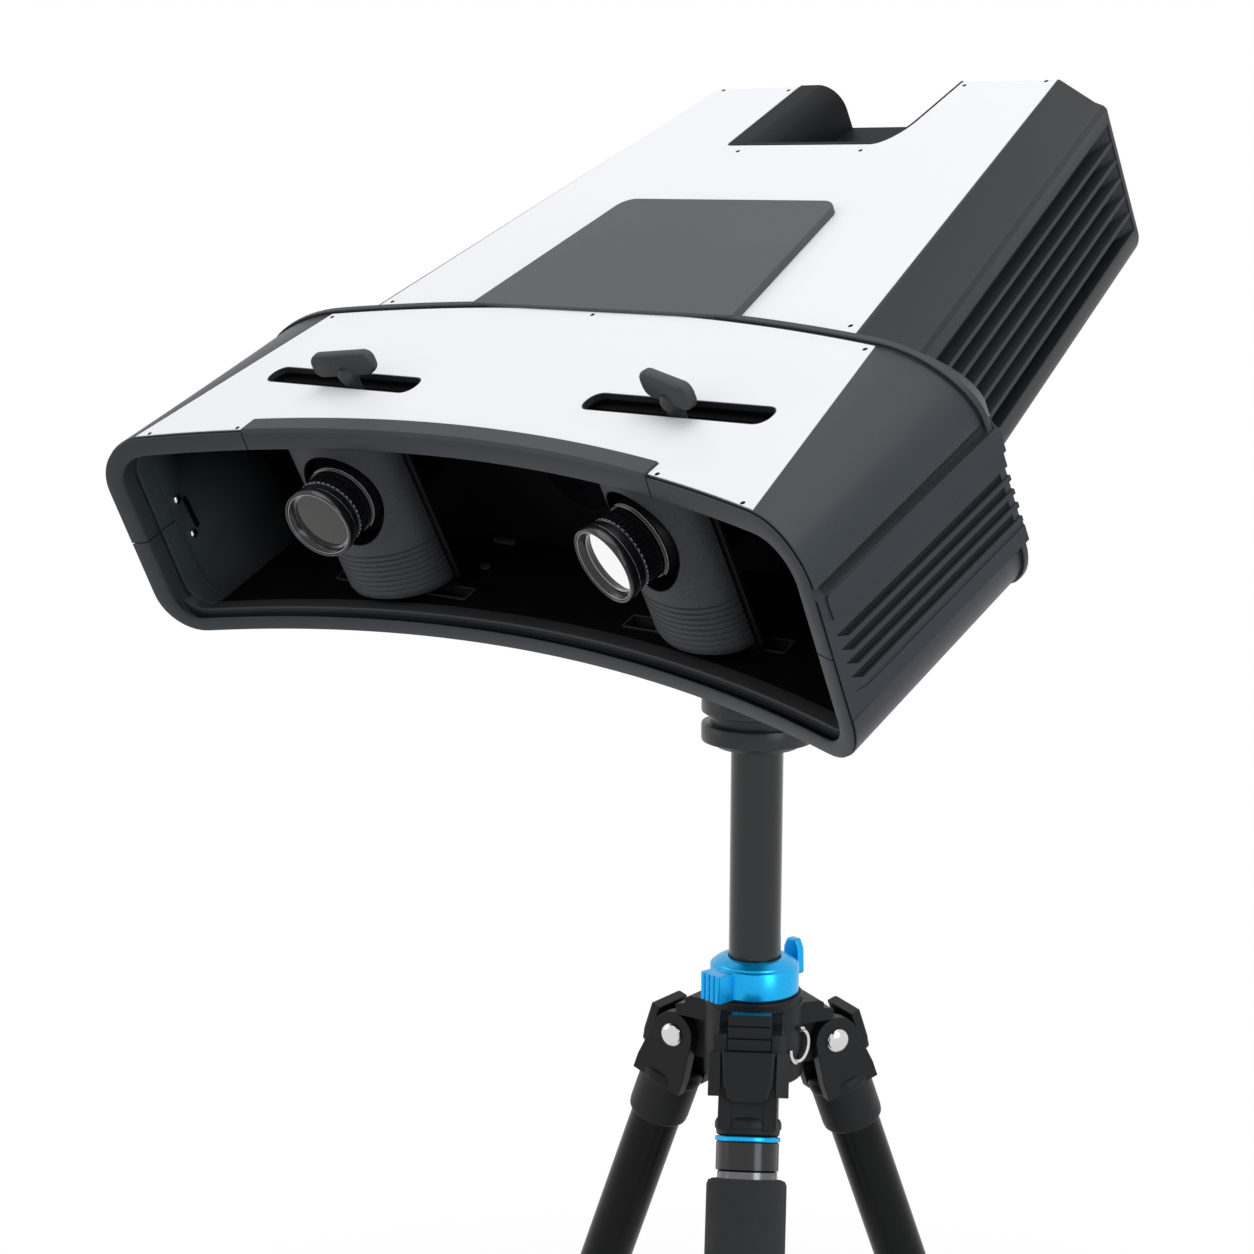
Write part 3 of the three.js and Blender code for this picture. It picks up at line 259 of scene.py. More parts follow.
knurl_back = 0.9
knurl_front = 1.2

# Turned edges round the lenses, as (inset, distance) steps from a radius and a level
barrel_steps = ((0, 4.0), (0.8, 2.6), (0.8, 0.6), (1.4, 0))
focus_back_steps = ((0.6, 0), (0, 0.5), (0, 0.9), (1.2, 1.1))
focus_front_steps = ((1.2, 1.3), (0, 1.2), (0, 0.4), (0.4, 0))
ring_back_steps = ((1.4, 0), (0.9, 0.3), (0.9, 3.9), (0.2, 4.3), (0, 4.8))
ring_front_steps = ((0, 0.7), (0.3, 0.15), (0.8, 0))
ring_inner_steps = ((-0.3, 0.1), (0, 0.6), (0.4, 1.4))
funnel_lip_steps = ((0.3, 1.1), (0.5, 1.0), (0.9, 1.6))
glass_edge_steps = ((-0.3, -0.2), (-0.2, 0.1))

# Thin bands round the lenses, as (inset, back, front, rise)
outer_lip = (0.35, 0.7, 0.35, 0.12)
inner_lip = (0.2, 0.75, 0.45, 0.1)
glass_hoop = (-0.2, -0.1, -0.4, 0.1)
ring_line = (0.55, -4.0, -4.14, 0.12)

# Plain marks on the lenses
mark_rise = 0.12
barrel_waist = 0.8
index_low = 1.5
index_high = 1.1
index_headings = (-52, 118)
dash_low = 0.9
dash_high = 0.65
dash_sweep = 210

# Collar and side pads
collar_proud = 1.5
collar_depth = 8.0
collar_chamfer = 9.0
collar_profile = (  # (inset, depth)
    (6.0, 0.2),
    (1.2, 0.2),
    (0.2, 1.0),
    (0.4 - collar_proud, 1.0),
    (-collar_proud, 1.5),
    (-collar_proud, 4.2),
    (0.5 - collar_proud, 4.9),
    (collar_chamfer, collar_depth + 7),
    (collar_chamfer + 3, collar_depth + 7.5),
)
pad_sink = 2.6
pad_rise = 0.7
pad_flush = 0.2
pad_play = 0.1
pad_shade_play = 0.25
pad_shade_rise = 6.0
pad_top = 28.3
pad_bottom = 90.3
pad_front = -5.5
pad_rear = 120.0
pad_flare = math.radians(1.15)
pad_root = 3.0
pad_cove = 5.6
pad_cove_shares = (0, 0.25, 0.5, 0.75, 0.9, 1)
pad_tab_round = 4.0
pad_strip_top = 45.4
pad_groove_count = 5
pad_groove_top = 52.6
pad_groove_pitch = 6.9
pad_groove_width = 4.4
pad_groove_slant = 6.5
pad_groove_depth = 1.6
shallow_groove_depth = 0.5

# Rear housing
rear_start = 118.0
rear_end = 387.0
rear_end_steps = ((3.0, 0), (1.2, 0.5), (0, 2.2))
rear_half = 138.0
rear_taper = math.radians(10.8)
rear_drop = 2.5
rear_height = 102.0
rear_corner = 12.0
rear_shoulder = 24.0
rear_shoulder_height = 17.0
crease_steps = ((0, 0), (1.6, 1.8), (6.0, 3.6))
vent_length = 245.0
vent_from_rear = 6.0
vent_top = 27.0
vent_bottom = 86.0
vent_depth = 9.0
vent_floor = 0.6
vent_ribs = (37.0, 47.0, 57.0, 67.0, 77.0)
rib_thickness = 2.4
facet_length = 13.0
facet_inset = 0.4
facet_reach = 0.5
exhaust_count = 5
exhaust_bottom = 89.5
exhaust_pitch = 11.0
exhaust_height = 5.0
exhaust_half = 27.5
exhaust_depth = 8.0
panel_tuck = 6.0
panel_end_gap = 3.0
plate_tuck = 2.0
plate_front_half = 87.0
plate_rear_half = 72.5
plate_rear = 249.5
plate_corner = 10.0
plate_thickness = 4.0
recess_half = 55.0
recess_front = 316.0
recess_depth = 26.0
recess_rim = 12.0
recess_round = 15.0
recess_skin = 3.0
recess_bead = 1.4
recess_tight = 3.5
recess_sweep = (13.0, 26.0)
recess_play = 0.2
filler_play = 0.1

# Head, column and clamp
turret_height = 111.0
base_drop = 18.0
disc_radius = 30.0
disc_height = 10.0
turntable_height = 9.0
groove_radius = 25.0
foot_radius = 23.0
foot_height = 3.0
turret_neck = 20.0
turret_flare = 2.0
foot_edge = 1.0
foot_flare = 1.5
disc_low_steps = ((1.2, 0), (0.3, 0.4), (0, 1.4))
disc_high_steps = ((0, 1.2), (0.4, 0.3), (1.3, 0))
table_low_steps = ((1.4, 0), (0.3, 0.4), (0, 1.3))
table_high_steps = ((0, 1.3), (0.4, 0.4), (1.4, 0))
fork_gap = 32.0
fork_cheek = 10.0
fork_depth = 20.0
fork_floor = 16.0
column_radius = 14.0
column_length = 340.0
column_shown = 115.7
column_skin = 2.0
column_edge = 0.4
column_cap = 3.0
clamp_radius = 24.0
clamp_height = 19.5
clamp_cone = 3.7
ear_height = 15.0
clamp_cone_radius = 17.0
clamp_foot_steps = ((0.8, 0), (0, 0.8))
clamp_shoulder_steps = ((0, -1.2), (0.6, -0.3), (1.8, 0), (2.4, 1.2))
clamp_lip_steps = ((-0.8, 0.5), (0.4, 0))
ear_reach = 8.0
ear_root = 2.0
ear_half = 7.5
ear_heading = math.radians(84)
ridge_count = 4
ridge_first = -5.4
ridge_pitch = 3.6
ridge_radius = 1.5
ridge_sink = 0.2
wing_reach = 9.0
wing_root = 5.7
wing_shaft_radius = 3.0
wing_thickness = 5.0
wing_outline = ((-5.5, -5.5), (-3, -6.8), (4, -6.5), (6.5, -4), (6, 8), (3.5, 13), (-2.5, 13), (-5, 8))
crown_drop = 16.5
crown_radius = 27.0
arm_drop = 5.0
band_half = 10.5
arm_width = 34.0
arm_reach = 40.0
arm_height = 12.0
hinge_radius = 43.5
tongue_radius = 12.0
hub_foot_steps = ((1.5, 0), (0, 1.5))
hub_rim_steps = ((0, 5.2), (0.8, 4.4), (0.8, 0.6), (1.4, 0))
arm_steps = ((-9.0, 0), (-6.0, 1.6), (-6.0, 4.6), (-1.0, 5.6), (0, 6.6))
arm_root = 6.0
neck_step = 3.0
inlay_reach = 9.5
inlay_root = 2.0
inlay_sink = 3.0
inlay_rise = 0.6

# Legs
leg_radius = 14.0
leg_length = 330.0
socket_radius = 17.5
socket_length = 28.0
cheek_length = 28.0
cheek_radius = 13.0
tongue_half = 8.0
leg_cheek = 7.0
cheek_inset = 1.5
cheek_root = 3.0
cheek_widening = 6.0
bolt_head_radius = 6.5
bolt_head_height = 2.5
bolt_head_shares = ((0.25, 1), (0.6, 0.9), (0.9, 0.55), (1, 0.2), (1, 0))
bolt_shank = 3.0
socket_rise = 4.0
socket_lip = 0.4
socket_top_steps = ((3.0, 0), (1.0, 1.0), (0, 3.0), (0, 6.0), (0.6, 6.6))
socket_low_steps = ((0.6, 4.0), (1.0, 1.0), (2.2, 0))
bridge_rise = 2.2
bridge_root = 0.4
bridge_drop = 3.0
foam_radius = 21.0
foam_start = 56.0
foam_length = 118.0
foam_steps = ((3.0, 0), (0.9, 0.9), (0, 3.0))
twist_radius = 17.5
twist_length = 34.0
twist_top_steps = ((1.0, 0), (0, 1.5))
twist_foot_steps = ((0, 2.0), (1.5, 0))
lower_mouth = 30.0
lower_radius = 12.0
lock_half = 14.0
lock_thickness = 6.0
lock_top = 9.0
lock_low = -17.0
lock_taper = 2.8
lock_chamfer = 1.2
slide_half = 11.2
slide_length = 19.0
slide_steps = 3
slide_depth = 4.5
slide_slit = 0.5
slide_root = 2.0
wall_width = 8.0
wall_height = 9.0
wall_slant = 3.0
wall_root = 4.0
flap_half = 21.0
flap_root = 6.0
sleeve_start = 34.0
trim_bite = 0.5
trim_bevel = 0.5
front_rings = (  # (name, inset, high end, low end)
    ("front_leg_band", 0.4, sleeve_start + 0.2, sleeve_start + 2.8),
    ("front_leg_sleeve", 1.0, sleeve_start + 2.9, foam_start - 4.2),
    ("front_leg_ring", 2.0, foam_start - 4.1, foam_start + 1),
)

# Room
shadow_share = 0.76
shadow_fade = 0.30
floor_size = 40.0
sky_tint = (0.97, 0.985, 1, 1)
sky_strength = 0.45
lamp_target = (0, 0, 0.75)
softboxes = (
    ("overhead_softbox", (0.2, -0.3, 3.0), (2.4, 2.4), 34),
    ("right_softbox", (2.6, -0.4, 1.5), (1.2, 2.0), 26, (0.80, 0.92, 1.0)),
    ("left_softbox", (-2.2, -1.8, 1.4), (1.4, 1.8), 10),
)
camera_lens = 73.07
camera_sensor = 36.0
camera_from_trunnion = (0.85983, -1.00844, 0.16654)
camera_turns = tuple(math.radians(turn) for turn in (80.06, -0.21, 43.5))

# Depths of the finishes' relief, in metres
metal_relief = 0.000008
sheet_relief = 0.00001
faint_relief = 0.00003
spark_relief = 0.00004
pad_relief = 0.00005
rubber_relief = 0.00008
pod_relief = 0.00009
foam_relief = 0.0004
fine_grain = 1500.0

# Colours, as linear light. Tones are the dark and the light of a finish's drift.
body_tones = ((0.022, 0.0265, 0.031, 1), (0.029, 0.0345, 0.040, 1))
# near-black, far darker than the body: painted shade inside the bay, slots and recesses, and the black of
# small screws
black_and_shade_tones = ((0.0022, 0.0022, 0.0026, 1), (0.0035, 0.0035, 0.004, 1))
# lighter than the right flange's near-black: painted light on the left flange
lit_flange_tones = ((0.034, 0.041, 0.046, 1), (0.050, 0.060, 0.067, 1))
# the cable tray's black, also painted shade at the bottom of the side pads' grooves
tray_tones = ((0.008, 0.009, 0.010, 1), (0.011, 0.012, 0.013, 1))
plate_tones = ((0.058, 0.060, 0.062, 1), (0.080, 0.082, 0.085, 1))
rear_tones = ((0.0125, 0.0140, 0.0155, 1), (0.0175, 0.0195, 0.0215, 1))
vent_tones = ((0.030, 0.033, 0.036, 1), (0.040, 0.043, 0.046, 1))
trim_tones = ((0.034, 0.035, 0.037, 1), (0.056, 0.057, 0.060, 1))
pod_tones = ((0.034, 0.036, 0.040, 1), (0.058, 0.061, 0.067, 1))
rubber_tones = ((0.012, 0.012, 0.013, 1), (0.02, 0.02, 0.021, 1))
foam_tones = ((0.018, 0.018, 0.019, 1), (0.032, 0.032, 0.034, 1))
coating_tones = ((0.030, 0.034, 0.028, 1), (0.040, 0.043, 0.036, 1))
circuit_tones = ((0.010, 0.070, 0.028, 1), (0.05, 0.17, 0.07, 1))
floor_tones = ((0.80, 0.80, 0.80, 1), (0.82, 0.82, 0.82, 1))
# painted light: the lit grey of the left end wall
painted_light_grey = (0.056, 0.068, 0.076, 1)
white = (0.86, 0.86, 0.875, 1)
mirror_white = (0.93, 0.93, 0.94, 1)
rail_black = (0.008, 0.008, 0.009, 1)
lens_black = (0.008, 0.008, 0.010, 1)
casting_black = (0.017, 0.0172, 0.0185, 1)
disc_black = (0.026, 0.029, 0.033, 1)
column_black = (0.008, 0.0092, 0.0115, 1)
tube_black = (0.006, 0.0062, 0.0068, 1)
sleeve_black = (0.008, 0.0082, 0.0094, 1)
window_black = (0.004, 0.004, 0.006, 1)
rim_steel = (0.30, 0.30, 0.31, 1)
ring_steel = (0.16, 0.16, 0.17, 1)
steel = (0.72, 0.71, 0.70, 1)
mark_tone = (0.62, 0.62, 0.62, 1)
blue = (0.0, 0.50, 1.0, 1)

JOINTS = {joint["name"]: joint for joint in frame["joints"]}
trunnion = Vector(JOINTS["tilt"]["pos_m"])
SCALE = Matrix.Scale(MM, 4)
SCANNER = (
    Matrix.Translation(trunnion)
    @ Matrix.Rotation(head_tilt, 4, "X")
    @ Matrix.Translation((0, -trunnion_back * MM, trunnion_drop * MM))
    @ SCALE
)
HEAD = Matrix.Translation(trunnion) @ SCALE  # the trunnion's place, on the column's axis
base_top = -turret_height
column_top = base_top - base_drop
collar_top = column_top - column_shown
collar_bottom = collar_top - clamp_height
crown_top = collar_bottom - gap
hinge_level = (JOINTS["front_leg_fold"]["pos_m"][2] - trunnion.z) / MM
LEGS = ("front", "left", "right")


def leg_frame(name):
    """The leg hangs along -Z from its hinge, and its bolt lies along X."""
    across = Vector(JOINTS[f"{name}_leg_fold"]["axis"])
    up = -Vector(JOINTS[f"{name}_leg_extend"]["axis"])
    turned = Matrix((across, up.cross(across), up)).transposed().to_4x4()
    turned.translation = Vector(JOINTS[f"{name}_leg_fold"]["pos_m"])
    return turned @ SCALE


def pod_frame(side, stem):
    across = side * (stem - stem_offset * math.sin(toe_in))
    return SCANNER @ Matrix.Translation((across, pod_back, 0)) @ Matrix.Rotation(-side * toe_in, 4, "Z")


SIDES = {"left": (-1, left_stem), "right": (1, right_stem)}


# Materials
class Signal:
    """One output of a node, which adds Math nodes where it is reckoned with."""

    def __init__(self, graph, socket):
        self.graph = graph
        self.socket = socket

    def reckon(self, operation, first, second):
        return self.graph.node("ShaderNodeMath", {"operation": operation}, {0: first, 1: second})

    def __add__(self, other):
        return self.reckon("ADD", self, other)

    def __radd__(self, other):
        return self.reckon("ADD", other, self)

    def __sub__(self, other):
        return self.reckon("SUBTRACT", self, other)

    def __mul__(self, other):
        return self.reckon("MULTIPLY", self, other)

    def larger(self, other):
        return self.reckon("MAXIMUM", self, other)

    def smaller(self, other):
        return self.reckon("MINIMUM", self, other)


class Graph:
    """A node tree whose nodes are all made by one method."""

    def __init__(self, tree):
        self.tree = tree
        self.tree.nodes.clear()

    def node(self, kind, settings=None, inputs=None, output=0):
        made = self.tree.nodes.new(kind)
        for name, value in (settings or {}).items():
            setattr(made, name, value)
        self.feed(made, inputs or {})
        return made if output is None else Signal(self, made.outputs[output])

    def feed(self, made, inputs):
        for key, value in inputs.items():
            if isinstance(value, Signal):
                self.tree.links.new(value.socket, made.inputs[key])
            else:
                made.inputs[key].default_value = value

    def mixed_shader(self, share, first, second):
        return self.node("ShaderNodeMixShader", {}, {0: share, 1: first, 2: second})

    def seen(self):
        """One for the rays that show the room itself, and zero for those that only light the object."""
        kinds = ("Camera", "Glossy", "Transmission")
        rays = [self.node("ShaderNodeLightPath", output=f"Is {kind} Ray") for kind in kinds]
        return rays[0].larger(rays[1]).larger(rays[2])


class Finish(Graph):
    """A material of this object."""

    def __init__(self, name, slot, **fixed):
        self.material = bpy.data.materials.new(name)
        self.material.use_nodes = True
        super().__init__(self.material.node_tree)
        self.slot = slot
        self.shader = self.node("ShaderNodeBsdfPrincipled", {}, fixed)
        self.output = self.node("ShaderNodeOutputMaterial", {}, {"Surface": self.shader}, output=None)
        self.place = self.node("ShaderNodeTexCoord", output="Object")

    def wear(self, **inputs):
        self.feed(self.shader.socket.node, {key.replace("_", " "): value for key, value in inputs.items()})

    def noise(self, scale, detail=2.0, roughness=0.5):
        inputs = {"Vector": self.place, "Scale": scale, "Detail": detail, "Roughness": roughness}
        return self.node("ShaderNodeTexNoise", {}, inputs)

    def cells(self, scale, **settings):
        return self.node("ShaderNodeTexVoronoi", settings, {"Vector": self.place, "Scale": scale})

    def measured(self, operation, *others):
        inputs = dict(enumerate((self.place, *others)))
        return self.node("ShaderNodeVectorMath", {"operation": operation}, inputs, output="Value")

    def blend(self, share, first, second):
        return self.node("ShaderNodeMix", {"data_type": "RGBA"}, {0: share, 6: first, 7: second}, output=2)

    def ramp(self, value, low, high, falling=False):
        """Black at one value and white at another, or the other way round."""
        ends = [(0, 0, 0, 1), (1, 1, 1, 1)]
        if falling:
            ends.reverse()
        made = self.node("ShaderNodeValToRGB", {}, {0: value})
        for stop, position, colour in zip(made.socket.node.color_ramp.elements, (low, high), ends):
            stop.position = position
            stop.color = colour
        return made

    def relief(self, height, distance, strength=1.0):
        return self.node("ShaderNodeBump", {}, {"Height": height, "Distance": distance, "Strength": strength})


def shaded(colour, share):
    return tuple(channel * share for channel in colour[:3]) + (1,)


def moulded(name, slot, tones, roughness, grain=fine_grain, depth=faint_relief, gloss=0.25):
    """Moulded plastic with a fine spark grain and a slow drift of tone."""
    finish = Finish(name, slot, **{"Specular IOR Level": gloss})
    drift = finish.noise(11.0, 3.0)
    fine = finish.noise(grain, 2.0, 0.6)
    tone = finish.ramp(fine * 0.5 + drift * 0.5, 0.35, 0.65)
    finish.wear(
        Base_Color=finish.blend(tone, *tones),
        Roughness=roughness - 0.05 + drift * 0.1,
        Normal=finish.relief(fine, depth),
    )
    return finish


def painted_sheet():
    finish = Finish("white_sheet", "white_panel", **{"IOR": 1.45})
    drift = finish.noise(6.0, 2.0)
    fine = finish.noise(1800.0, 1.0)
    finish.wear(
        Base_Color=finish.blend(drift, shaded(white, 0.975), white),
        Roughness=0.42 + drift * 0.06,
        Normal=finish.relief(fine, sheet_relief),
    )
    return finish


def satin_metal(name, slot, colour, roughness, metallic=0.0, gloss=0.5):
    """Anodised or painted metal, with faint turning marks."""
    finish = Finish(name, slot, **{"Metallic": metallic, "Specular IOR Level": gloss})
    drift = finish.noise(20.0, 2.0)
    fine = finish.noise(900.0, 2.0)
    finish.wear(
        Base_Color=finish.blend(drift, shaded(colour, 0.8), colour),
        Roughness=roughness - 0.03 + fine * 0.06,
        Normal=finish.relief(fine, metal_relief),
    )
    return finish


def lens_coating():
    """A filter glass: dark green seen square on, and a mirror of the room at a slant."""
    finish = Finish("lens_coating", "lens_glass", **{"Roughness": 0.06, "IOR": 1.5})
    drift = finish.noise(60.0, 1.0)
    finish.wear(Base_Color=finish.blend(drift, *coating_tones))
    polish = {"Metallic": 1.0, "Roughness": 0.04, "Base Color": mirror_white}
    mirror = finish.node("ShaderNodeBsdfPrincipled", {}, polish)
    slant = finish.node("ShaderNodeLayerWeight", {}, {"Blend": 0.5}, output="Facing")
    share = finish.ramp(slant, 0.455, 0.53)
    finish.feed(finish.output, {"Surface": finish.mixed_shader(share, finish.shader, mirror)})
    return finish


def sponge():
    finish = Finish("foam_sleeve", "foam", **{"Roughness": 0.95})
    pores = finish.cells(700.0)
    broad = finish.noise(90.0, 3.0)
    finish.wear(
        Base_Color=finish.blend(broad, *foam_tones),
        Normal=finish.relief(pores * 0.6 + broad * 0.4, foam_relief, 0.8),
    )
    return finish


def painted_light_wall():
    """Painted light on the left end wall: a lit grey spot and a lit band at its front, which fade into painted
    shade towards the bay's dark inside.
    """
    finish = Finish("bay_wall", "black_plastic", **{"Roughness": 0.45, "Specular IOR Level": 0.2})
    middle = SCANNER @ Vector(lit_spot_middle)
    inward = (SCANNER.to_3x3() @ Vector((0, 1, 0))).normalized()
    start = (SCANNER @ Vector((0, lit_band_front, 0))).dot(inward)
    reach = finish.measured("DISTANCE", middle)
    depth = finish.measured("DOT_PRODUCT", inward)
    lit_spot = finish.ramp(reach * (1 / lit_spot_reach / MM) - 0.3, 0, 1, falling=True)
    edge = finish.ramp((depth - start) * (1 / lit_band_fade / MM), 0, 1, falling=True)
    fine = finish.noise(fine_grain, 2.0, 0.6)
    finish.wear(
        Base_Color=finish.blend(lit_spot.larger(edge), black_and_shade_tones[0], painted_light_grey),
        Normal=finish.relief(fine, faint_relief),
    )
    return finish


def board_finish():
    finish = Finish("solder_mask", "circuit", **{"Roughness": 0.4})
    tracks = finish.cells(160.0, distance="MANHATTAN", feature="DISTANCE_TO_EDGE")
    lines = finish.ramp(tracks, 0.02, 0.06, falling=True)
    finish.wear(Base_Color=finish.blend(lines, *circuit_tones))
    return finish


black_plastic = moulded("black_moulding", "black_plastic", body_tones, 0.44, depth=spark_relief)
# near-black painted shade for the bay's lining, sleeves and recesses, and the black of small screws
black_and_painted_shade = moulded("bay_lining_painted_shade", "black_plastic", black_and_shade_tones, 0.6, gloss=0.05)
# the left flange's lighter grey is painted light
flange_painted_light = moulded("bay_flange", "black_plastic", lit_flange_tones, 0.42)
# the left end wall's lit spot and lit band are painted light
left_wall_painted_light = painted_light_wall()
# also painted shade in the side pads' grooves
tray_black_and_groove_shade = moulded("tray_moulding_and_groove_shade", "black_plastic", tray_tones, 0.5, gloss=0.08)
plate_grey = moulded("cover_plate_moulding", "grey_plastic", plate_tones, 0.5, grain=1700.0)
rear_black = moulded("rear_moulding", "black_plastic", rear_tones, 0.46, depth=spark_relief, gloss=0.2)
pad_black = moulded("pad_rubber", "black_plastic", body_tones, 0.58, grain=2200.0, depth=pad_relief)
vent_black = moulded("vent_moulding", "grey_plastic", vent_tones, 0.55, grain=1800.0, gloss=0.15)
grey_plastic = moulded("grey_moulding", "grey_plastic", trim_tones, 0.55, grain=1700.0)
pod_plastic = moulded("pod_moulding", "pod_plastic", pod_tones, 0.55, grain=900.0, depth=pod_relief)
white_sheet = painted_sheet()
rail_metal = satin_metal("black_anodised", "rail_metal", rail_black, 0.4, gloss=0.2)
lens_metal = satin_metal("lens_black", "lens_metal", lens_black, 0.22)
lens_rim = satin_metal("lens_rim", "lens_metal", rim_steel, 0.24, 1.0)
tripod_metal = satin_metal("tripod_casting", "tripod_metal", casting_black, 0.44, gloss=0.16)
disc_metal = satin_metal("head_disc", "tripod_metal", disc_black, 0.34, gloss=0.3)
column_metal = satin_metal("column_tube", "tripod_metal", column_black, 0.2, gloss=0.46)
tube_metal = satin_metal("leg_tube", "tripod_metal", tube_black, 0.3, gloss=0.12)
sleeve_metal = satin_metal("glossy_sleeve", "tripod_metal", sleeve_black, 0.18, gloss=0.45)
ring_metal = satin_metal("leg_ring", "polished_steel", ring_steel, 0.2, 1.0)
blue_metal = satin_metal("blue_anodised", "blue_metal", blue, 0.28, 0.55)
polished_steel = satin_metal("polished_steel", "polished_steel", steel, 0.16, 1.0)
dark_glass = satin_metal("window_glass", "dark_window", window_black, 0.05)
mark_white = satin_metal("lens_marking", "lens_metal", mark_tone, 0.5)
lens_glass = lens_coating()
foam = sponge()
rubber = moulded("black_rubber", "rubber", rubber_tones, 0.75, grain=900.0, depth=rubber_relief)
circuit = board_finish()


# Mesh work
def lofted(rings):
    """A closed skin through rings of points. The first and the last ring are its end faces."""
    bm = bmesh.new()
    start = bm.faces.new([bm.verts.new(point) for point in rings[0]])
    face = start
    for ring in rings[1:]:
        grown = bmesh.ops.extrude_face_region(bm, geom=[face])["geom"]
        if face is not start:
            bmesh.ops.delete(bm, geom=[face], context="FACES_ONLY")
        face = next(item for item in grown if isinstance(item, bmesh.types.BMFace))
        for vert, point in zip(face.verts, ring):
            vert.co = point
    bmesh.ops.recalc_face_normals(bm, faces=bm.faces)
    return bm


def slab(outline, low, high):
    """A plate over an (x, y) outline, from one height to another."""
    return lofted([[(x, y, low) for x, y in outline], [(x, y, high) for x, y in outline]])


def spun(profile, steps=72):
    """A turned piece about Z, from (radius, height) pairs that end on the axis or close on themselves."""
    bm = bmesh.new()
    verts = [bm.verts.new((radius, 0, height)) for radius, height in profile]
    edges = [bm.edges.new(pair) for pair in zip(verts, verts[1:])]
    bmesh.ops.spin(
        bm, geom=verts + edges, axis=(0, 0, 1), cent=(0, 0, 0), angle=math.tau, steps=steps, use_merge=True
    )
    bmesh.ops.remove_doubles(bm, verts=bm.verts, dist=merge_distance)
    bmesh.ops.recalc_face_normals(bm, faces=bm.faces)
    return bm


def block(low, high):
    bm = bmesh.new()
    size = [b - a for a, b in zip(low, high)]
    middle = [(a + b) / 2 for a, b in zip(low, high)]
    bmesh.ops.create_cube(bm, size=1, matrix=Matrix.Translation(middle) @ Matrix.Diagonal((*size, 1)))
    return bm


def turned(bm, matrix):
    bmesh.ops.transform(bm, matrix=matrix, verts=bm.verts)
    if matrix.determinant() < 0:
        bmesh.ops.reverse_faces(bm, faces=bm.faces)
    return bm


def moved(bm, x, y, z):
    return turned(bm, Matrix.Translation((x, y, z)))


def stepped(radius, level, steps, way=1):
    """Points of a turned edge: each step is an inset from the radius and a distance from the level."""
    return [(radius - inset, level + way * rise) for inset, rise in steps]


def mirrored(bm):
    return turned(bm, Matrix.Scale(-1, 4, (1, 0, 0)))


ALONG_X = Matrix.Rotation(math.pi / 2, 4, "Y")
FORWARD = Matrix.Rotation(math.pi / 2, 4, "X")


def joined(*parts):
    whole = parts[0]
    for part in parts[1:]:
        carrier = bpy.data.meshes.new("carrier")
        part.to_mesh(carrier)
        part.free()
        whole.from_mesh(carrier)
        bpy.data.meshes.remove(carrier)
    return whole


def as_object(bm, name):
    mesh = bpy.data.meshes.new(name)
    bm.to_mesh(mesh)
    bm.free()
    made = bpy.data.objects.new(name, mesh)
    bpy.context.scene.collection.objects.link(made)
    return made


def carved(bm, cutter, operation="DIFFERENCE"):
    """The body with the cutter taken away, or with only what lies in the cutter kept."""
    body = as_object(bm, "body")
    tool = as_object(cutter, "tool")
    work = body.modifiers.new("carve", "BOOLEAN")
    work.operation = operation
    work.object = tool
    work.solver = "EXACT"
    work.use_self = True
    graph = bpy.context.evaluated_depsgraph_get()
    result = bmesh.new()
    result.from_object(body, graph)
    for spent in (body, tool):
        mesh = spent.data
        bpy.data.objects.remove(spent)
        bpy.data.meshes.remove(mesh)
    bmesh.ops.remove_doubles(result, verts=result.verts, dist=merge_distance)
    bmesh.ops.dissolve_limit(result, angle_limit=math.radians(0.2), verts=result.verts, edges=result.edges)
    return result


def settled(name, bm, finish, body, place, *nodes, edge=small_edge, angle=32, segments=2):
    """Puts a finished piece in the row frame, rounds its edges and ties it to its CAD body."""
    turned(bm, place)
    made = as_object(bm, name)
    made.data.materials.append(finish.material)
    made.data.shade_smooth()
    made.data.set_sharp_from_angle(angle=math.radians(angle))
    if edge:
        rounding = made.modifiers.new("rounding", "BEVEL")
        rounding.width = edge * MM
        rounding.segments = segments
        rounding.limit_method = "ANGLE"
        rounding.angle_limit = math.radians(angle)
        rounding.harden_normals = True
        rounding.miter_outer = "MITER_ARC"
    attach(made, body)
    if nodes:
        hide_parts(*nodes)
    return made


def on_scanner(name, bm, finish, *nodes, **look):
    return settled(name, bm, finish, "scanner", SCANNER, *nodes, **look)


def dressed(node, finish, body, edge=small_edge, angle=32):
    """A merged copy of a CAD node, with softened edges."""
    bm = bmesh.new()
    bm.from_mesh(frame["nodes"][node].data)
    bmesh.ops.remove_doubles(bm, verts=bm.verts, dist=merge_distance * MM)
    bmesh.ops.dissolve_limit(bm, angle_limit=math.radians(0.5), verts=bm.verts, edges=bm.edges)
    return settled(f"{node}_surface", bm, finish, body, Matrix.Identity(4), node, edge=edge, angle=angle)


def quarter(x, y, width, height, steps):
    """Points round a quarter ellipse, from its side to its top."""
    turns = [math.pi / 2 * i / steps for i in range(steps + 1)]
    return [(x + width * math.cos(turn), y + height * math.sin(turn)) for turn in turns]


def rounded(half_x, half_y, radius, steps=8):
    """A rounded rectangle about the origin."""
    corner = quarter(half_x - radius, half_y - radius, radius, radius, steps)
    right = [(x, -y) for x, y in reversed(corner)] + corner
    return right + [(-x, y) for x, y in reversed(corner)] + [(-x, -y) for x, y in corner]


def spread(first, last, count):
    return [first + (last - first) * i / count for i in range(count)]


def reached(first, last, count):
    """Evenly spread values that include the last one."""
    return spread(first, last, count) + [last]


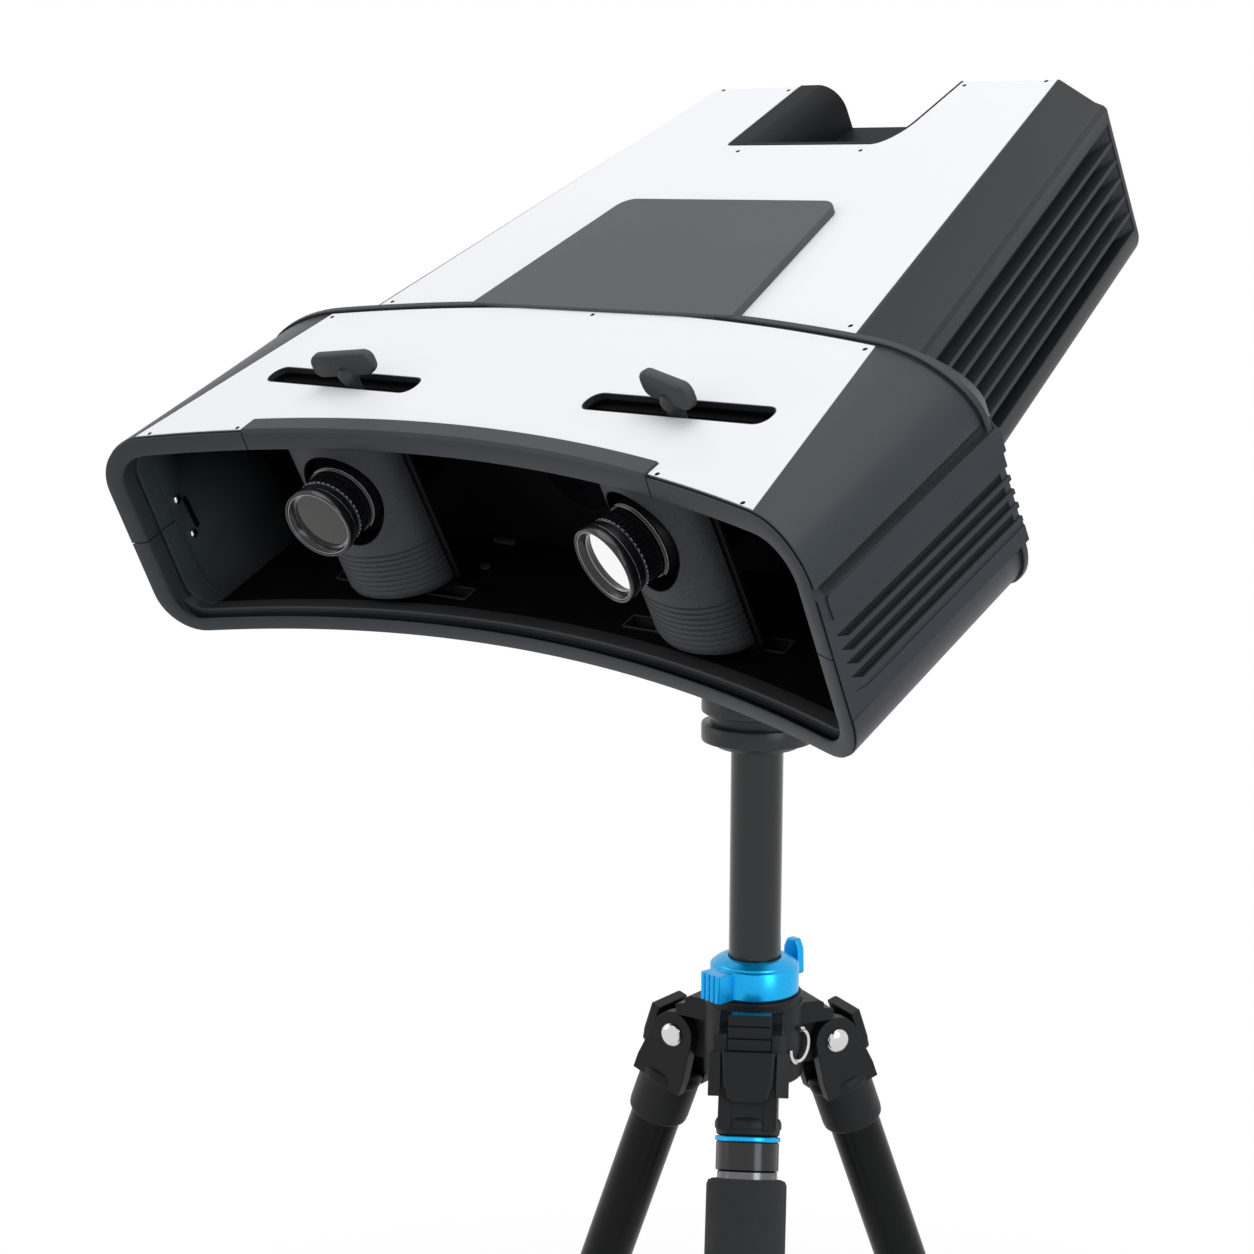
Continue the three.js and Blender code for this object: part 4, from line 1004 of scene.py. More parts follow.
def prism(outline, first, last):
    """A bar along x over a (y, z) outline."""
    return lofted([[(x, y, z) for y, z in outline] for x in (first, last)])


# Hood
def arc_fall(radius, x):
    return radius - math.sqrt(radius * radius - x * x)


def front_face(x, z):
    return front_arc_middle - arc_fall(front_arc_radius, x) + bezel_lean * z / hood_height


def rear_face(x, z):
    """Upright, so the height that front_face needs is left unused."""
    return rear_arc_middle - arc_fall(rear_arc_radius, x)


def panel_half(y):
    return panel_front_half + (panel_rear_half - panel_front_half) * y / panel_edge_length


def hood_half_outline(inset, top, bottom, from_panel):
    half = hood_half - inset
    corner = hood_corner - inset
    lower = quarter(half - corner, corner - bottom, corner, -corner, corner_steps)[::-1]
    shoulder = quarter(from_panel, -shoulder_height, half - from_panel, shoulder_height - top, hood_steps)
    flat = [(x, -bottom) for x in spread(0, half - corner, hood_steps)][1:]
    side = [(half, z) for z in spread(corner - bottom, -shoulder_height, side_steps)][1:]
    crest = [(x, -top) for x in spread(0, from_panel, hood_steps)][:0:-1]
    return flat + lower + side + shoulder + crest


def hood_ring(inset, depth, face, bottom=None):
    """A ring round the hood on one of its curved faces, drawn in by inset and moved back by depth."""
    top = hood_top_drop + inset
    bottom = hood_height - inset if bottom is None else bottom
    middle_y = face(0, -hood_height / 2) + depth
    half = hood_half_outline(inset, top, bottom, panel_half(middle_y if face is rear_face else 0))
    outline = [(0, -bottom)] + half + [(0, -top)] + [(-x, z) for x, z in reversed(half)]
    return [(x, face(x, z) + depth, z) for x, z in outline]


def flattened(ring, y):
    return [(x, y, z) for x, _, z in ring]


def hood_shell():
    """The hood with its bezel frame, which a fine groove parts from the outer skin."""
    floor = hood_height - bay_floor_rise
    trough = floor + lip_groove_depth
    rings = [
        flattened(hood_ring(back_wall, 0, rear_face), bay_rear + bay_sink),
        hood_ring(back_wall, -overlap, rear_face),
        hood_ring(rear_rim_inset, 0, rear_face),
        hood_ring(0, -overlap, rear_face),
    ]
    rings += [hood_ring(inset, depth, front_face) for inset, depth in bezel_edge]
    for inward, back in lip_rounding:
        turn = bezel_round * inward
        rings.append(hood_ring(bezel_lip_width - turn, bezel_round * back, front_face, bottom=floor + turn))
    end = bezel_round + lip_groove_width
    for depth, bottom in ((bezel_round, trough), (end, trough), (end, floor), (bezel_lip_depth, floor)):
        rings.append(hood_ring(bezel_lip_width, depth, front_face, bottom=bottom))
    rings.append(hood_ring(bezel_width, bezel_lip_depth + lip_step, front_face, bottom=floor))
    rings.append(flattened(hood_ring(bezel_width, 0, front_face), bay_rear))
    return lofted(rings)


def bay_cup(outer, inner, front):
    """A thin cup that lines the bay, from the bezel's lip to the back wall."""
    floor = hood_height - bay_floor_rise
    rings = [
        flattened(hood_ring(bezel_width - outer, 0, front_face, bottom=floor + outer), bay_rear + outer),
        hood_ring(bezel_width - outer, front, front_face, bottom=floor + outer),
        hood_ring(bezel_width + inner, front, front_face, bottom=floor - inner),
        flattened(hood_ring(bezel_width + inner, 0, front_face, bottom=floor - inner), bay_rear - inner),
    ]
    return lofted(rings)


def slot_outline(side, grow):
    half_x = (slot_outer - slot_inner) / 2 + grow
    middle = side * (slot_outer + slot_inner) / 2
    outline = rounded(half_x, slot_half_width + grow, slot_round + grow)
    return [(x + middle, y + slot_middle) for x, y in outline]


def lever_slots(grow, low):
    return joined(*[slab(slot_outline(side, grow), low, overrun) for side in (-1, 1)])


def guide_slot_ends(side):
    """Where the guide pins' slots begin and end along the hood."""
    shift = (stem_offset - pin_offset) * math.sin(toe_in)
    return sorted((side * (travel_inner - shift - pin_reach), side * (travel_outer - shift + pin_reach)))


def floor_slots():
    parts = []
    middle = pod_back + pin_offset * math.cos(toe_in)
    low = -hood_height - overrun
    for side in (-1, 1):
        left, right = guide_slot_ends(side)
        start = (left, middle - guide_slot_half, low)
        parts.append(block(start, (right, middle + guide_slot_half, low + 4 * overrun)))
    return joined(*parts)


def guide_slot_trims():
    """A thin rim round each guide slot, and a strip below that shuts out the light."""
    middle = pod_back + pin_offset * math.cos(toe_in)
    floor = bay_floor_rise - hood_height
    rims, strips = [], []
    for side in (-1, 1):
        left, right = guide_slot_ends(side)
        half = (right - left) / 2
        centre = (right + left) / 2
        rings = []
        for grow, z in ((rim_width, 0), (rim_width, lining + rim_rise), (0, lining + rim_rise), (0, 0)):
            outline = rounded(half + grow, guide_slot_half + grow, grow + gap)
            rings.append([(x + centre, y + middle, floor + z) for x, y in outline])
        rims.append(tube_of(rings))
        strip = rounded(half + 2 * rim_width, guide_slot_half + 2 * rim_width, rim_width)
        strip = [(x + centre, y + middle) for x, y in strip]
        strips.append(slab(strip, -hood_height - 2 * gap, -hood_height - gap / 3))
    on_scanner("guide_slot_rims", joined(*rims), grey_plastic, edge=0)
    on_scanner("guide_slot_strips", joined(*strips), black_and_painted_shade, edge=0)


def trim_slits():
    """Fine slits that carry the ends of the trim strip on down the bezel."""
    parts = []
    front = front_face(trim_half, 0)
    for side in (-1, 1):
        x = side * (trim_half + trim_slit / 2)
        low = (x - trim_slit / 2, front - overrun, -bezel_lip_width - overlap)
        parts.append(block(low, (x + trim_slit / 2, front + trim_slit, overrun)))
    return joined(*parts)


def pad_pockets():
    parts = []
    for side in (-1, 1):
        ends = sorted((side * (hood_half - pad_sink), side * (hood_half + overrun)))
        outline = [(ends[0], -pad_bottom), (ends[1], -pad_bottom), (ends[1], -pad_top), (ends[0], -pad_top)]
        front = [(x, front_face(hood_half, z) + groove_stop, z) for x, z in outline]
        parts.append(lofted([front, [(x, pad_rear, z) for x, z in outline]]))
    return joined(*parts)


def hood_pieces():
    shell = carved(hood_shell(), joined(lever_slots(gap, -overrun), floor_slots()))
    shell = carved(shell, trim_slits())
    shell = carved(shell, pad_pockets())
    seam = seam_rise - hood_height
    for name, low, high in (
        ("front_lower_shell", -2 * hood_height, seam - seam_width / 2),
        ("front_upper_shell", seam + seam_width / 2, hood_height),
    ):
        keep = block((-2 * hood_half, -2 * hood_half, low), (2 * hood_half, 2 * hood_half, high))
        part = carved(shell.copy(), keep, "INTERSECT")
        on_scanner(f"{name}_surface", part, black_plastic, name, edge=fine_edge, angle=40)
    shell.free()
    # The near-black lining over the bay's inside is painted shade.
    cup = bay_cup(lining, lining, lining_front)
    cup = carved(cup, joined(lever_slots(gap, -2 * overrun), floor_slots()))
    on_scanner("bay_lining_painted_shade", cup, black_and_painted_shade, edge=0, angle=30)


def tube_of(rings):
    """A closed hollow ring, whose rings of points run round its wall and end where they began."""
    wall = lofted(rings)
    ends = [face for face in wall.faces if len(face.verts) > 4]
    bmesh.ops.bridge_loops(wall, edges=list({edge for face in ends for edge in face.edges}))
    bmesh.ops.delete(wall, geom=ends, context="FACES_ONLY")
    bmesh.ops.recalc_face_normals(wall, faces=wall.faces)
    return wall


def slot_sleeves():
    """Black rims inside the lever slots, and near-black sleeves below them, which are painted shade."""
    for name, finish, low, high in (
        ("slot_rims", black_plastic, -slot_rim_depth, -gap / 2),
        # The near-black sleeves are painted shade.
        ("slot_sleeves", black_and_painted_shade, -bezel_width - lining, -slot_rim_depth),
    ):
        parts = []
        for side in (-1, 1):
            outer = slot_outline(side, -gap / 10)
            inner = slot_outline(side, -slot_rim)
            levels = ((outer, low), (outer, high), (inner, high), (inner, low))
            parts.append(tube_of([[(x, y, z) for x, y in outline] for outline, z in levels]))
        on_scanner(name, joined(*parts), finish, edge=0, angle=30)


def front_panel_outline():
    lip_ends = spread(trim_half + gap, panel_half(0), 12) + [panel_half(panel_front_reach)]
    front = [(x, front_face(x, 0) + panel_lip) for x in lip_ends]
    middle = [(x, front_face(x, 0) + trim_depth + gap) for x in reached(0, trim_half + gap, 20)]
    rear = [(x, rear_face(x, 0) - gap) for x in reached(0, panel_half(panel_rear_reach), 24)]
    right = middle + front + rear[::-1]
    return right + [(-x, y) for x, y in reversed(right[1:-1])]


def front_panel():
    sheet = carved(slab(front_panel_outline(), -panel_thickness, 0), lever_slots(0, -overrun))
    on_scanner("front_top_panel_surface", sheet, white_sheet, "front_top_panel", edge=fine_edge, angle=40)


def trim_strip():
    front = [(x, front_face(x, 0)) for x in reached(-trim_half, trim_half, 40)]
    rear = [(x, y + trim_depth) for x, y in reversed(front)]
    strip = slab(front + rear, -panel_thickness, trim_rise)
    on_scanner("front_trim_strip_surface", strip, grey_plastic, "front_trim_strip", edge=soft_edge, angle=40)


def mouth_path():
    """Stations (x, z, inward x, inward z, height share) along the mouth's lower edge and its corners."""
    floor = bay_floor_rise - hood_height
    radius = hood_corner - bezel_lip_width
    end = hood_half - hood_corner
    flat = [(x, floor, 0, 1, 1) for x in reached(-end, end, lip_steps)]
    right = []
    for i in range(1, lip_turn_steps + 1):
        share = i / lip_turn_steps
        turn = lip_end_turn * share
        inward = (-math.sin(turn), math.cos(turn))
        x = end + radius * math.sin(turn)
        right.append((x, floor + radius * (1 - math.cos(turn)), *inward, 1 - share * share))
    left = [(-x, z, -nx, nz, share) for x, z, nx, nz, share in reversed(right)]
    return left + flat + right


def lip_strip():
    """The raised band along the bottom of the bay's mouth, with a dark strip in the groove in front of it,
    which is painted shade.
    """
    start = bezel_round + lip_groove_width + lip_setback
    sections = []
    for x, z, nx, nz, share in mouth_path():
        section = []
        for depth, height in lip_profile:
            height = height if height < 0 else height * share
            section.append((x + nx * height, front_face(x, z) + start + depth, z + nz * height))
        sections.append(section)
    strip = lofted(sections)
    on_scanner("bay_lip_strip", strip, grey_plastic, edge=lip_edge, angle=40, segments=3)
    # A dark strip in the groove in front of the lip is painted shade.
    floor = bay_floor_rise - hood_height
    half = hood_half - hood_corner
    sections = []
    for x in reached(-half, half, lip_steps):
        face = front_face(x, floor) + start
        sections.append([(x, face + depth, floor + height) for depth, height in groove_shade_profile])
    on_scanner("bay_lip_groove_shade", lofted(sections), black_and_painted_shade, edge=0, angle=40)


def pad_groove(low, rise, depth):
    """A groove along the side, whose front end is cut at a slant."""
    start = pad_front - overlap
    slant = start + pad_groove_slant
    end = pad_rear + overrun
    face = hood_half - pad_flush - depth
    return prism([(start, rise), (slant, low), (end, low), (end, rise)], face, face + overrun)


def along_side(outline, front_edge, rear_edge):
    """A bar along the hood's right side over an (x, z) outline."""
    return lofted([[(x, front_edge(z), z) for x, z in outline], [(x, rear_edge, z) for x, z in outline]])


def pad_cove_points(inner, proud, top):
    """The hollow curve between a pad's band and the hood's shoulder."""
    points = []
    for share in pad_cove_shares:
        turn = share * math.pi / 2
        points.append((inner + (proud - inner) * (1 - math.cos(turn)), top - pad_cove * math.sin(turn)))
    return points


def side_pads():
    inner = hood_half - pad_sink + pad_play
    flush = hood_half - pad_flush
    proud = hood_half + pad_rise
    low = -pad_bottom + pad_play
    top = -pad_top - pad_flush
    root = inner - pad_root
    cove = pad_cove_points(inner, proud, top)
    base = [(root, low), (flush, low)] + [(min(x, flush), z) for x, z in reversed(cove)] + [(root, top)]
    base = along_side(base, lambda z: front_face(hood_half, z) + groove_stop + pad_flush, pad_rear - overlap)
    cutters = []
    for i in range(pad_groove_count):
        rise = -pad_groove_top - i * pad_groove_pitch
        last = i == pad_groove_count - 1
        depth = shallow_groove_depth if last else pad_groove_depth
        cutters.append(pad_groove(rise - pad_groove_width * (0.5 if last else 1), rise, depth))
    base = carved(base, joined(*cutters))
    strip_low = -pad_strip_top
    band = [(root, strip_low), (proud, strip_low)] + cove[::-1] + [(root, top)]
    band = along_side(band, lambda z: pad_front, pad_rear)
    corner = pad_tab_round
    tab = quarter(0, 0, corner, corner, 8)
    edge = top - pad_cove * 0.8
    start = pad_front - overlap
    outline = [(start, edge + overrun), (pad_front + corner, edge + overrun)]
    outline += [(pad_front + corner - x, edge - corner + z) for x, z in reversed(tab)]
    outline.append((start, edge - corner))
    band = carved(band, prism(outline, flush, flush + overrun))
    # A dark layer at the bottom of the grooves, which is painted shade.
    floor = low + pad_shade_rise
    shade = [(inner + pad_play, floor), (flush - pad_groove_depth + pad_shade_play, floor)]
    shade += [(x, -pad_groove_top - gap) for x, _ in reversed(shade)]
    shade = along_side(shade, lambda z: pad_front, pad_rear - 2 * overlap)
    hinge = Matrix.Translation((hood_half, pad_front, 0))
    flare = hinge @ Matrix.Rotation(-pad_flare, 4, "Z") @ hinge.inverted()
    for side, name in ((1, "right_side_pad"), (-1, "left_side_pad")):
        pad = turned(joined(base.copy(), band.copy()), flare)
        dark = turned(shade.copy(), flare)
        if side < 0:
            mirrored(pad)
            mirrored(dark)
        on_scanner(f"{name}_surface", pad, pad_black, name, edge=fine_edge, angle=30)
        on_scanner(f"{name}_shade", dark, tray_black_and_groove_shade, edge=0)
    for spent in (base, band, shade):
        spent.free()


def rear_collar():
    rings = [hood_ring(inset, depth, rear_face) for inset, depth in collar_profile]
    on_scanner("rear_collar_surface", lofted(rings), black_plastic, "rear_collar", edge=0, angle=25)


# Rear housing
def rear_side(y):
    return rear_half + (rear_end - y) * math.tan(rear_taper)


def rear_ring(y, inset):
    """A section of the rear housing: sloping shoulders, a crease strip and upright sides."""
    half = rear_side(y) - inset
    ledge = rear_side(y) - rear_shoulder
    corner = rear_corner - inset
    top = rear_drop + hood_top_drop + inset
    bottom = rear_height - inset
    crease = rear_drop + rear_shoulder_height + inset
    lower = [(x, -z) for x, z in reversed(quarter(half - corner, bottom - corner, corner, corner, 8))]
    right = lower + stepped(half, -crease, crease_steps) + [(ledge, -top)]
    outline = right + [(-x, z) for x, z in reversed(right)]
    return [(x, y, z) for x, z in outline]


def side_frame():
    return Matrix.Translation((rear_half, rear_end, 0)) @ Matrix.Rotation(rear_taper, 4, "Z")


vent_rear = -vent_from_rear
vent_front = -vent_from_rear - vent_length


def rear_housing():
    rings = [rear_ring(rear_start, 0)] + [rear_ring(rear_end - back, inset) for back, inset in rear_end_steps]
    low = (-recess_half, recess_front, -rear_drop - recess_depth - recess_skin)
    cutters = [block(low, (recess_half, rear_end + overrun, overrun))]
    for flip in (False, True):
        vent = block((-vent_depth, vent_front, -vent_bottom), (overrun, vent_rear, -vent_top))
        vent = turned(vent, side_frame())
        cutters.append(mirrored(vent) if flip else vent)
    for i in range(exhaust_count):
        low = -exhaust_bottom + i * exhaust_pitch
        high = (exhaust_half, rear_end + overrun, low + exhaust_height)
        cutters.append(block((-exhaust_half, rear_end - exhaust_depth, low), high))
    shell = carved(lofted(rings), joined(*cutters))
    on_scanner("rear_shell_surface", shell, rear_black, "rear_shell", edge=soft_edge, angle=25, segments=3)


def vent_grilles():
    """Floor, ribs and sloping rear ends of the side openings."""
    start = vent_front - overlap
    floor = (-vent_depth + vent_floor, vent_rear + overlap, -vent_top + overlap)
    parts = [block((-vent_depth - overlap, start, -vent_bottom - overlap), floor)]
    for rib in vent_ribs:
        high = (-gap, vent_rear + overlap, -rib + rib_thickness / 2)
        parts.append(block((-vent_depth, start, -rib - rib_thickness / 2), high))
    edges = (vent_top - overlap, *vent_ribs, vent_bottom + overlap)
    end = vent_rear + facet_reach
    ramp = [(-vent_depth, vent_rear - facet_length), (-facet_inset, end), (-vent_depth, end)]
    for upper, lower in zip(edges, edges[1:]):
        parts.append(slab(ramp, -lower, -upper))
    grille = turned(joined(*parts), side_frame())
    for flip, name in ((False, "right_vent_grille"), (True, "left_vent_grille")):
        copy = grille.copy()
        if flip:
            mirrored(copy)
        on_scanner(f"{name}_surface", copy, vent_black, name, angle=25)
    grille.free()


def recess_corner(side, inset, steps=12):
    """Points round a front corner of the rear recess: tight on the left, a long sweep on the right."""
    wide, long = recess_sweep if side > 0 else (recess_tight, recess_tight)
    edge = recess_half + gap - inset
    front = recess_front - gap + inset
    corner = quarter(edge - wide, front + long, wide, -long, steps)
    return [(side * x, y) for x, y in corner]


def rear_panel():
    front_half = rear_side(rear_arc_middle) - rear_shoulder
    rear_width = rear_side(rear_end) - rear_shoulder
    front = [(x, rear_face(x, 0) + collar_depth + gap - panel_tuck) for x in reached(0, front_half, 20)]
    end = rear_end - panel_end_gap
    edge = recess_half + gap
    right = front + [(rear_width, end), (edge, end)] + recess_corner(1, 0)
    left = [(-x, y) for x, y in front[1:]] + [(-rear_width, end), (-edge, end)] + recess_corner(-1, 0)
    sheet = slab(right + left[::-1], -rear_drop - panel_thickness, -rear_drop)
    on_scanner("rear_top_panel_surface", sheet, white_sheet, "rear_top_panel", edge=fine_edge, angle=40)


def cover_plate():
    slope = (plate_front_half - plate_rear_half) / (plate_rear - rear_arc_middle)
    start = rear_arc_middle - plate_tuck
    front_half = plate_rear_half + slope * (plate_rear - start)
    r = plate_corner
    corner = quarter(plate_rear_half - r, plate_rear - r, r, r, 10)
    right = [(front_half, start)] + corner
    outline = right + [(-x, y) for x, y in reversed(right)]
    low = gap - rear_drop
    plate = slab(outline, low - overlap, low + plate_thickness)
    on_scanner("cover_plate_surface", plate, plate_grey, "cover_plate", edge=full_edge, angle=40, segments=3)


def cable_recess():
    """A tray with a round shoulder on its left and a thin upright wall on its right."""
    half = recess_half - gap
    top = -rear_drop
    floor = top - recess_depth
    low = floor - recess_skin
    channel = half - recess_rim - recess_round
    curve = quarter(0, 0, recess_round, recess_round, 10)
    curve = [(channel + recess_round - x, top - recess_round + z) for x, z in curve]
    left = [(-x, z) for x, z in [(half, low), (half, top)] + curve[::-1] + [(channel, floor)]]
    rim = top - gap / 2
    right = [(half, low), (half, rim), (half - recess_bead, rim), (half - recess_bead, floor)]
    front = recess_front + gap
    outline = right + left[::-1]
    tray = lofted([[(x, y, z) for x, z in outline] for y in (front, rear_end - overlap)])
    start = (-half + recess_play, front + recess_play, low + recess_play)
    wall = block(start, (half - recess_play, front + recess_skin, top - recess_play))
    side = half - filler_play
    corner = recess_corner(1, recess_bead + 2 * gap)
    near = front + filler_play
    filler = [(side, near), (side, corner[0][1])] + corner + [(corner[-1][0], near)]
    filler = slab(filler, low + filler_play, rim)
    bmesh.ops.recalc_face_normals(filler, faces=filler.faces)
    tray = joined(tray, wall, filler)
    on_scanner("cable_recess_surface", tray, tray_black_and_groove_shade, "cable_recess", angle=40)


def panel_screws():
    profile = [(0, -screw_root), (screw_radius, -screw_root), (screw_radius, screw_rise * 0.4)]
    profile += [(screw_radius * 0.75, screw_rise), (0, screw_rise)]
    places = [(*middle_screw, 0)]
    for side in (-1, 1):
        places += [(side * x, y, 0) for x, y in front_screws]
        places += [(side * x, y, -rear_drop) for x, y in rear_screws]
    parts = [moved(spun(profile, 20), *place) for place in places]
    on_scanner("panel_screws", joined(*parts), black_and_painted_shade, edge=0)


def wall_shell(outer, inner, rear):
    """What lines the right end wall of the bay from behind the bezel's lip to a depth."""
    shell = bay_cup(-outer, inner, lining_front)
    start = hood_half - hood_corner + wall_start
    keep = block((start, -hood_half, -hood_height), (hood_half, rear, -flange_top))
    return carved(shell, keep, "INTERSECT")


def bay_bolts(face):
    bolts = []
    for height in bay_screws:
        head = turned(spun(bay_screw_profile, 32), Matrix.Rotation(-math.pi / 2, 4, "Y"))
        bolts.append(moved(head, face, bay_screw_depth, -height))
    return joined(*bolts)


def bay_walls():
    """The bay's end walls, with painted light on the left and painted shade on the right: a raised flange in
    two halves, and two bright screws.
    """
    seam = seam_rise - hood_height
    face = hood_half - bezel_width - lining * 2
    for side, name in ((-1, "left"), (1, "right")):
        wall = wall_shell(lining * 0.8, lining * 2, wall_depth)
        flange = wall_shell(lining * 1.5, lining * 2 + flange_rise, flange_depth)
        slit = block((0, -hood_half, seam - seam_width / 2), (hood_half, hood_half, seam + seam_width / 2))
        flange = carved(flange, slit)
        # A flat near-black plate that stands for a slot: its darkness is painted shade.
        outline = rounded(bay_slot_half, bay_slot_reach, bay_slot_round)
        outline = [(y + bay_screw_depth + bay_slot_offset, z - sum(bay_screws) / 2) for y, z in outline]
        slot = prism(outline, face + gap, face - bay_slot_rise)
        bmesh.ops.recalc_face_normals(slot, faces=slot.faces)
        bolts = bay_bolts(face)
        if side < 0:
            for part in (wall, flange, bolts, slot):
                mirrored(part)
        # The left wall and flange wear painted light, the right ones the near-black of painted shade.
        on_scanner(f"{name}_bay_wall", wall, left_wall_painted_light if side < 0 else black_and_painted_shade, edge=0, angle=30)
        on_scanner(f"{name}_bay_flange", flange, flange_painted_light if side < 0 else black_and_painted_shade, edge=lip_edge, angle=30)
        on_scanner(f"{name}_bay_screws", bolts, polished_steel, edge=0)
        on_scanner(f"{name}_bay_slot", slot, black_and_painted_shade, edge=0)
    clips = []
    floor = bay_floor_rise - hood_height + lining
    for side in (-1, 1):
        for x, y, half, depth, rise in bay_clips:
            outline = [(side * x + u, y + v) for u, v in rounded(half, depth, depth * 0.8)]
            clips.append(slab(outline, floor - clip_sink, floor + rise))
    on_scanner("bay_clips", joined(*clips), grey_plastic)


# Pods, lenses and levers
def pod_outline(inset, steps=36):
    turns = [math.pi + math.pi * i / steps for i in range(steps + 1)]
    return [((pod_half - inset) * math.cos(turn), (pod_depth - inset) * math.sin(turn)) for turn in turns]


def pod_recess(profile):
    """A piece turned about the lens's axis and stretched to the recess's oval."""
    oval = turned(spun(profile, 64), FORWARD)
    oval = turned(oval, Matrix.Diagonal((1, 1, recess_half_height / recess_half_width, 1)))
    return moved(oval, 0, -recess_sink, -lens_height)


def pod_cover():
    sections = [(-pod_top, pod_edge), (-pod_top - pod_edge, 0)]
    step = pod_groove_step
    depth = pod_groove_depth
    for i in range(pod_groove_count):
        z = -pod_groove_first - i * pod_groove_pitch
        sections += [(z, 0), (z - step, depth), (z - 2 * step, depth), (z - 3 * step, 0)]
    sections += [(-pod_bottom + rise, inset) for rise, inset in pod_foot_steps]
    pod = lofted([[(x, y, z) for x, y in pod_outline(inset)] for z, inset in sections])
    reach = pod_depth * 2
    return carved(pod, pod_recess([(0, 0), (recess_half_width, 0), (recess_half_width, reach), (0, reach)]))


def toothed(radius, depth, low, high, count):
    outline = []
    for i in range(count):
        for share, inset in ((0.0, depth), (0.25, 0), (0.5, 0), (0.75, depth)):
            turn = math.tau * (i + share) / count
            outline.append(((radius - inset) * math.cos(turn), (radius - inset) * math.sin(turn)))
    return slab(outline, low, high)


def hoop(radius, level, inset, back, front, rise):
    """A thin band round a lens, let into it, between two distances from a level."""
    inner = radius - inset - gap
    outer = radius - inset + rise
    low, high = level - back, level - front
    return spun([(inner, low), (outer, low), (outer, high), (inner, high), (inner, low)], 96)


def lens_well():
    """The dark inside of the oval recess that the lens stands in: a near-black lining, which is painted shade.
    """
    outer = recess_half_width + well_play
    inner = recess_half_width - lining
    reach = pod_depth * 2
    profile = [(0, well_start), (outer, well_start), (outer, reach)]
    profile += [(inner, reach), (inner, well_floor), (0, well_floor)]
    return carved(pod_recess(profile), slab(pod_outline(lining), -pod_bottom, -pod_top), "INTERSECT")


def lens_barrel():
    front = barrel_length
    neck = front + neck_length
    profile = [(0, barrel_foot), (barrel_radius, barrel_foot)]
    profile += stepped(barrel_radius, front, barrel_steps, -1)
    return spun(profile + [(neck_radius, front), (neck_radius, neck), (0, neck)], 96)


def focus_ring(low):
    high = low + focus_length
    bore = neck_radius + gap
    band = [(bore, low)] + stepped(focus_radius, low, focus_back_steps)
    band += stepped(focus_radius, high, focus_front_steps, -1) + [(bore, high), (bore, low)]
    teeth = toothed(focus_radius, knurl_depth, low + knurl_back, high - knurl_front, knurl_count)
    return joined(spun(band, 96), teeth)


def camera(name):
    side, stem = SIDES[name]
    place = pod_frame(side, stem)
    lens = place @ Matrix.Translation((0, 0, -lens_height)) @ FORWARD
    body = f"{name}_camera"
    focus = f"{name}_focus"

    def fitted(piece, bm, finish, *nodes, **look):
        settled(f"{name}_{piece}", bm, finish, body, lens, *nodes, edge=0, **look)

    pod = pod_cover()
    node = f"{name}_pod_cover"
    settled(f"{node}_surface", pod, pod_plastic, body, place, node, edge=soft_edge, angle=40)
    # The lens well's near-black lining is painted shade.
    settled(f"{name}_lens_well", lens_well(), black_and_painted_shade, body, place, edge=0)
    settled(f"{name}_pod_backplate", pod_backplate(), rail_metal, body, place)
    dressed(f"{name}_camera_body", black_and_painted_shade, body)
    fitted("lens_barrel_surface", lens_barrel(), lens_metal, f"{name}_lens_barrel")
    low = barrel_length + gap
    ring = focus_ring(low)
    node = f"{name}_focus_ring"
    settled(f"{node}_surface", ring, lens_metal, focus, lens, node, edge=0, angle=30)
    start = low + focus_length + gap
    end = start + front_ring_length
    r = front_ring_radius
    edge = r - front_ring_wall
    foot = end - funnel_depth
    bottom = foot - funnel_skin
    rim = [(0, start + overlap)] + stepped(r, start, ring_back_steps) + stepped(r, end, ring_front_steps, -1)
    rim += stepped(edge, end, ring_inner_steps, -1) + [(funnel_radius + funnel_skin, bottom), (0, bottom)]
    fitted("front_ring", spun(rim, 96), lens_metal, f"{name}_front_lens", angle=30)
    lip = stepped(edge, end, funnel_lip_steps, -1)
    inside = lip + [(funnel_radius + funnel_skin, end - funnel_bend), (funnel_radius, foot)]
    inside += [(funnel_radius + glass_lip, foot - glass_sink), lip[0]]
    fitted("lens_funnel", spun(inside, 96), lens_metal)
    lips = [hoop(r, end, *outer_lip), hoop(edge, end, *inner_lip), hoop(funnel_radius, foot, *glass_hoop)]
    fitted("lens_rim", joined(*lips), lens_rim)
    rise = foot + glass_sink
    dome = stepped(funnel_radius, foot, glass_edge_steps)
    dome = [(0, dome[0][1])] + dome + [(funnel_radius * share, rise + step) for share, step in dome_steps]
    fitted("lens_glass", spun(dome + [(0, foot + dome_top)], 96), lens_glass)
    marks(name, fitted, focus, lens)


def pod_backplate():
    """The bracket's edge behind the pod, with a shadow gap between them."""
    half = pod_half + backplate_reach
    return block((-half, backplate_near, -pod_bottom), (half, backplate_far, -pod_top - overlap))


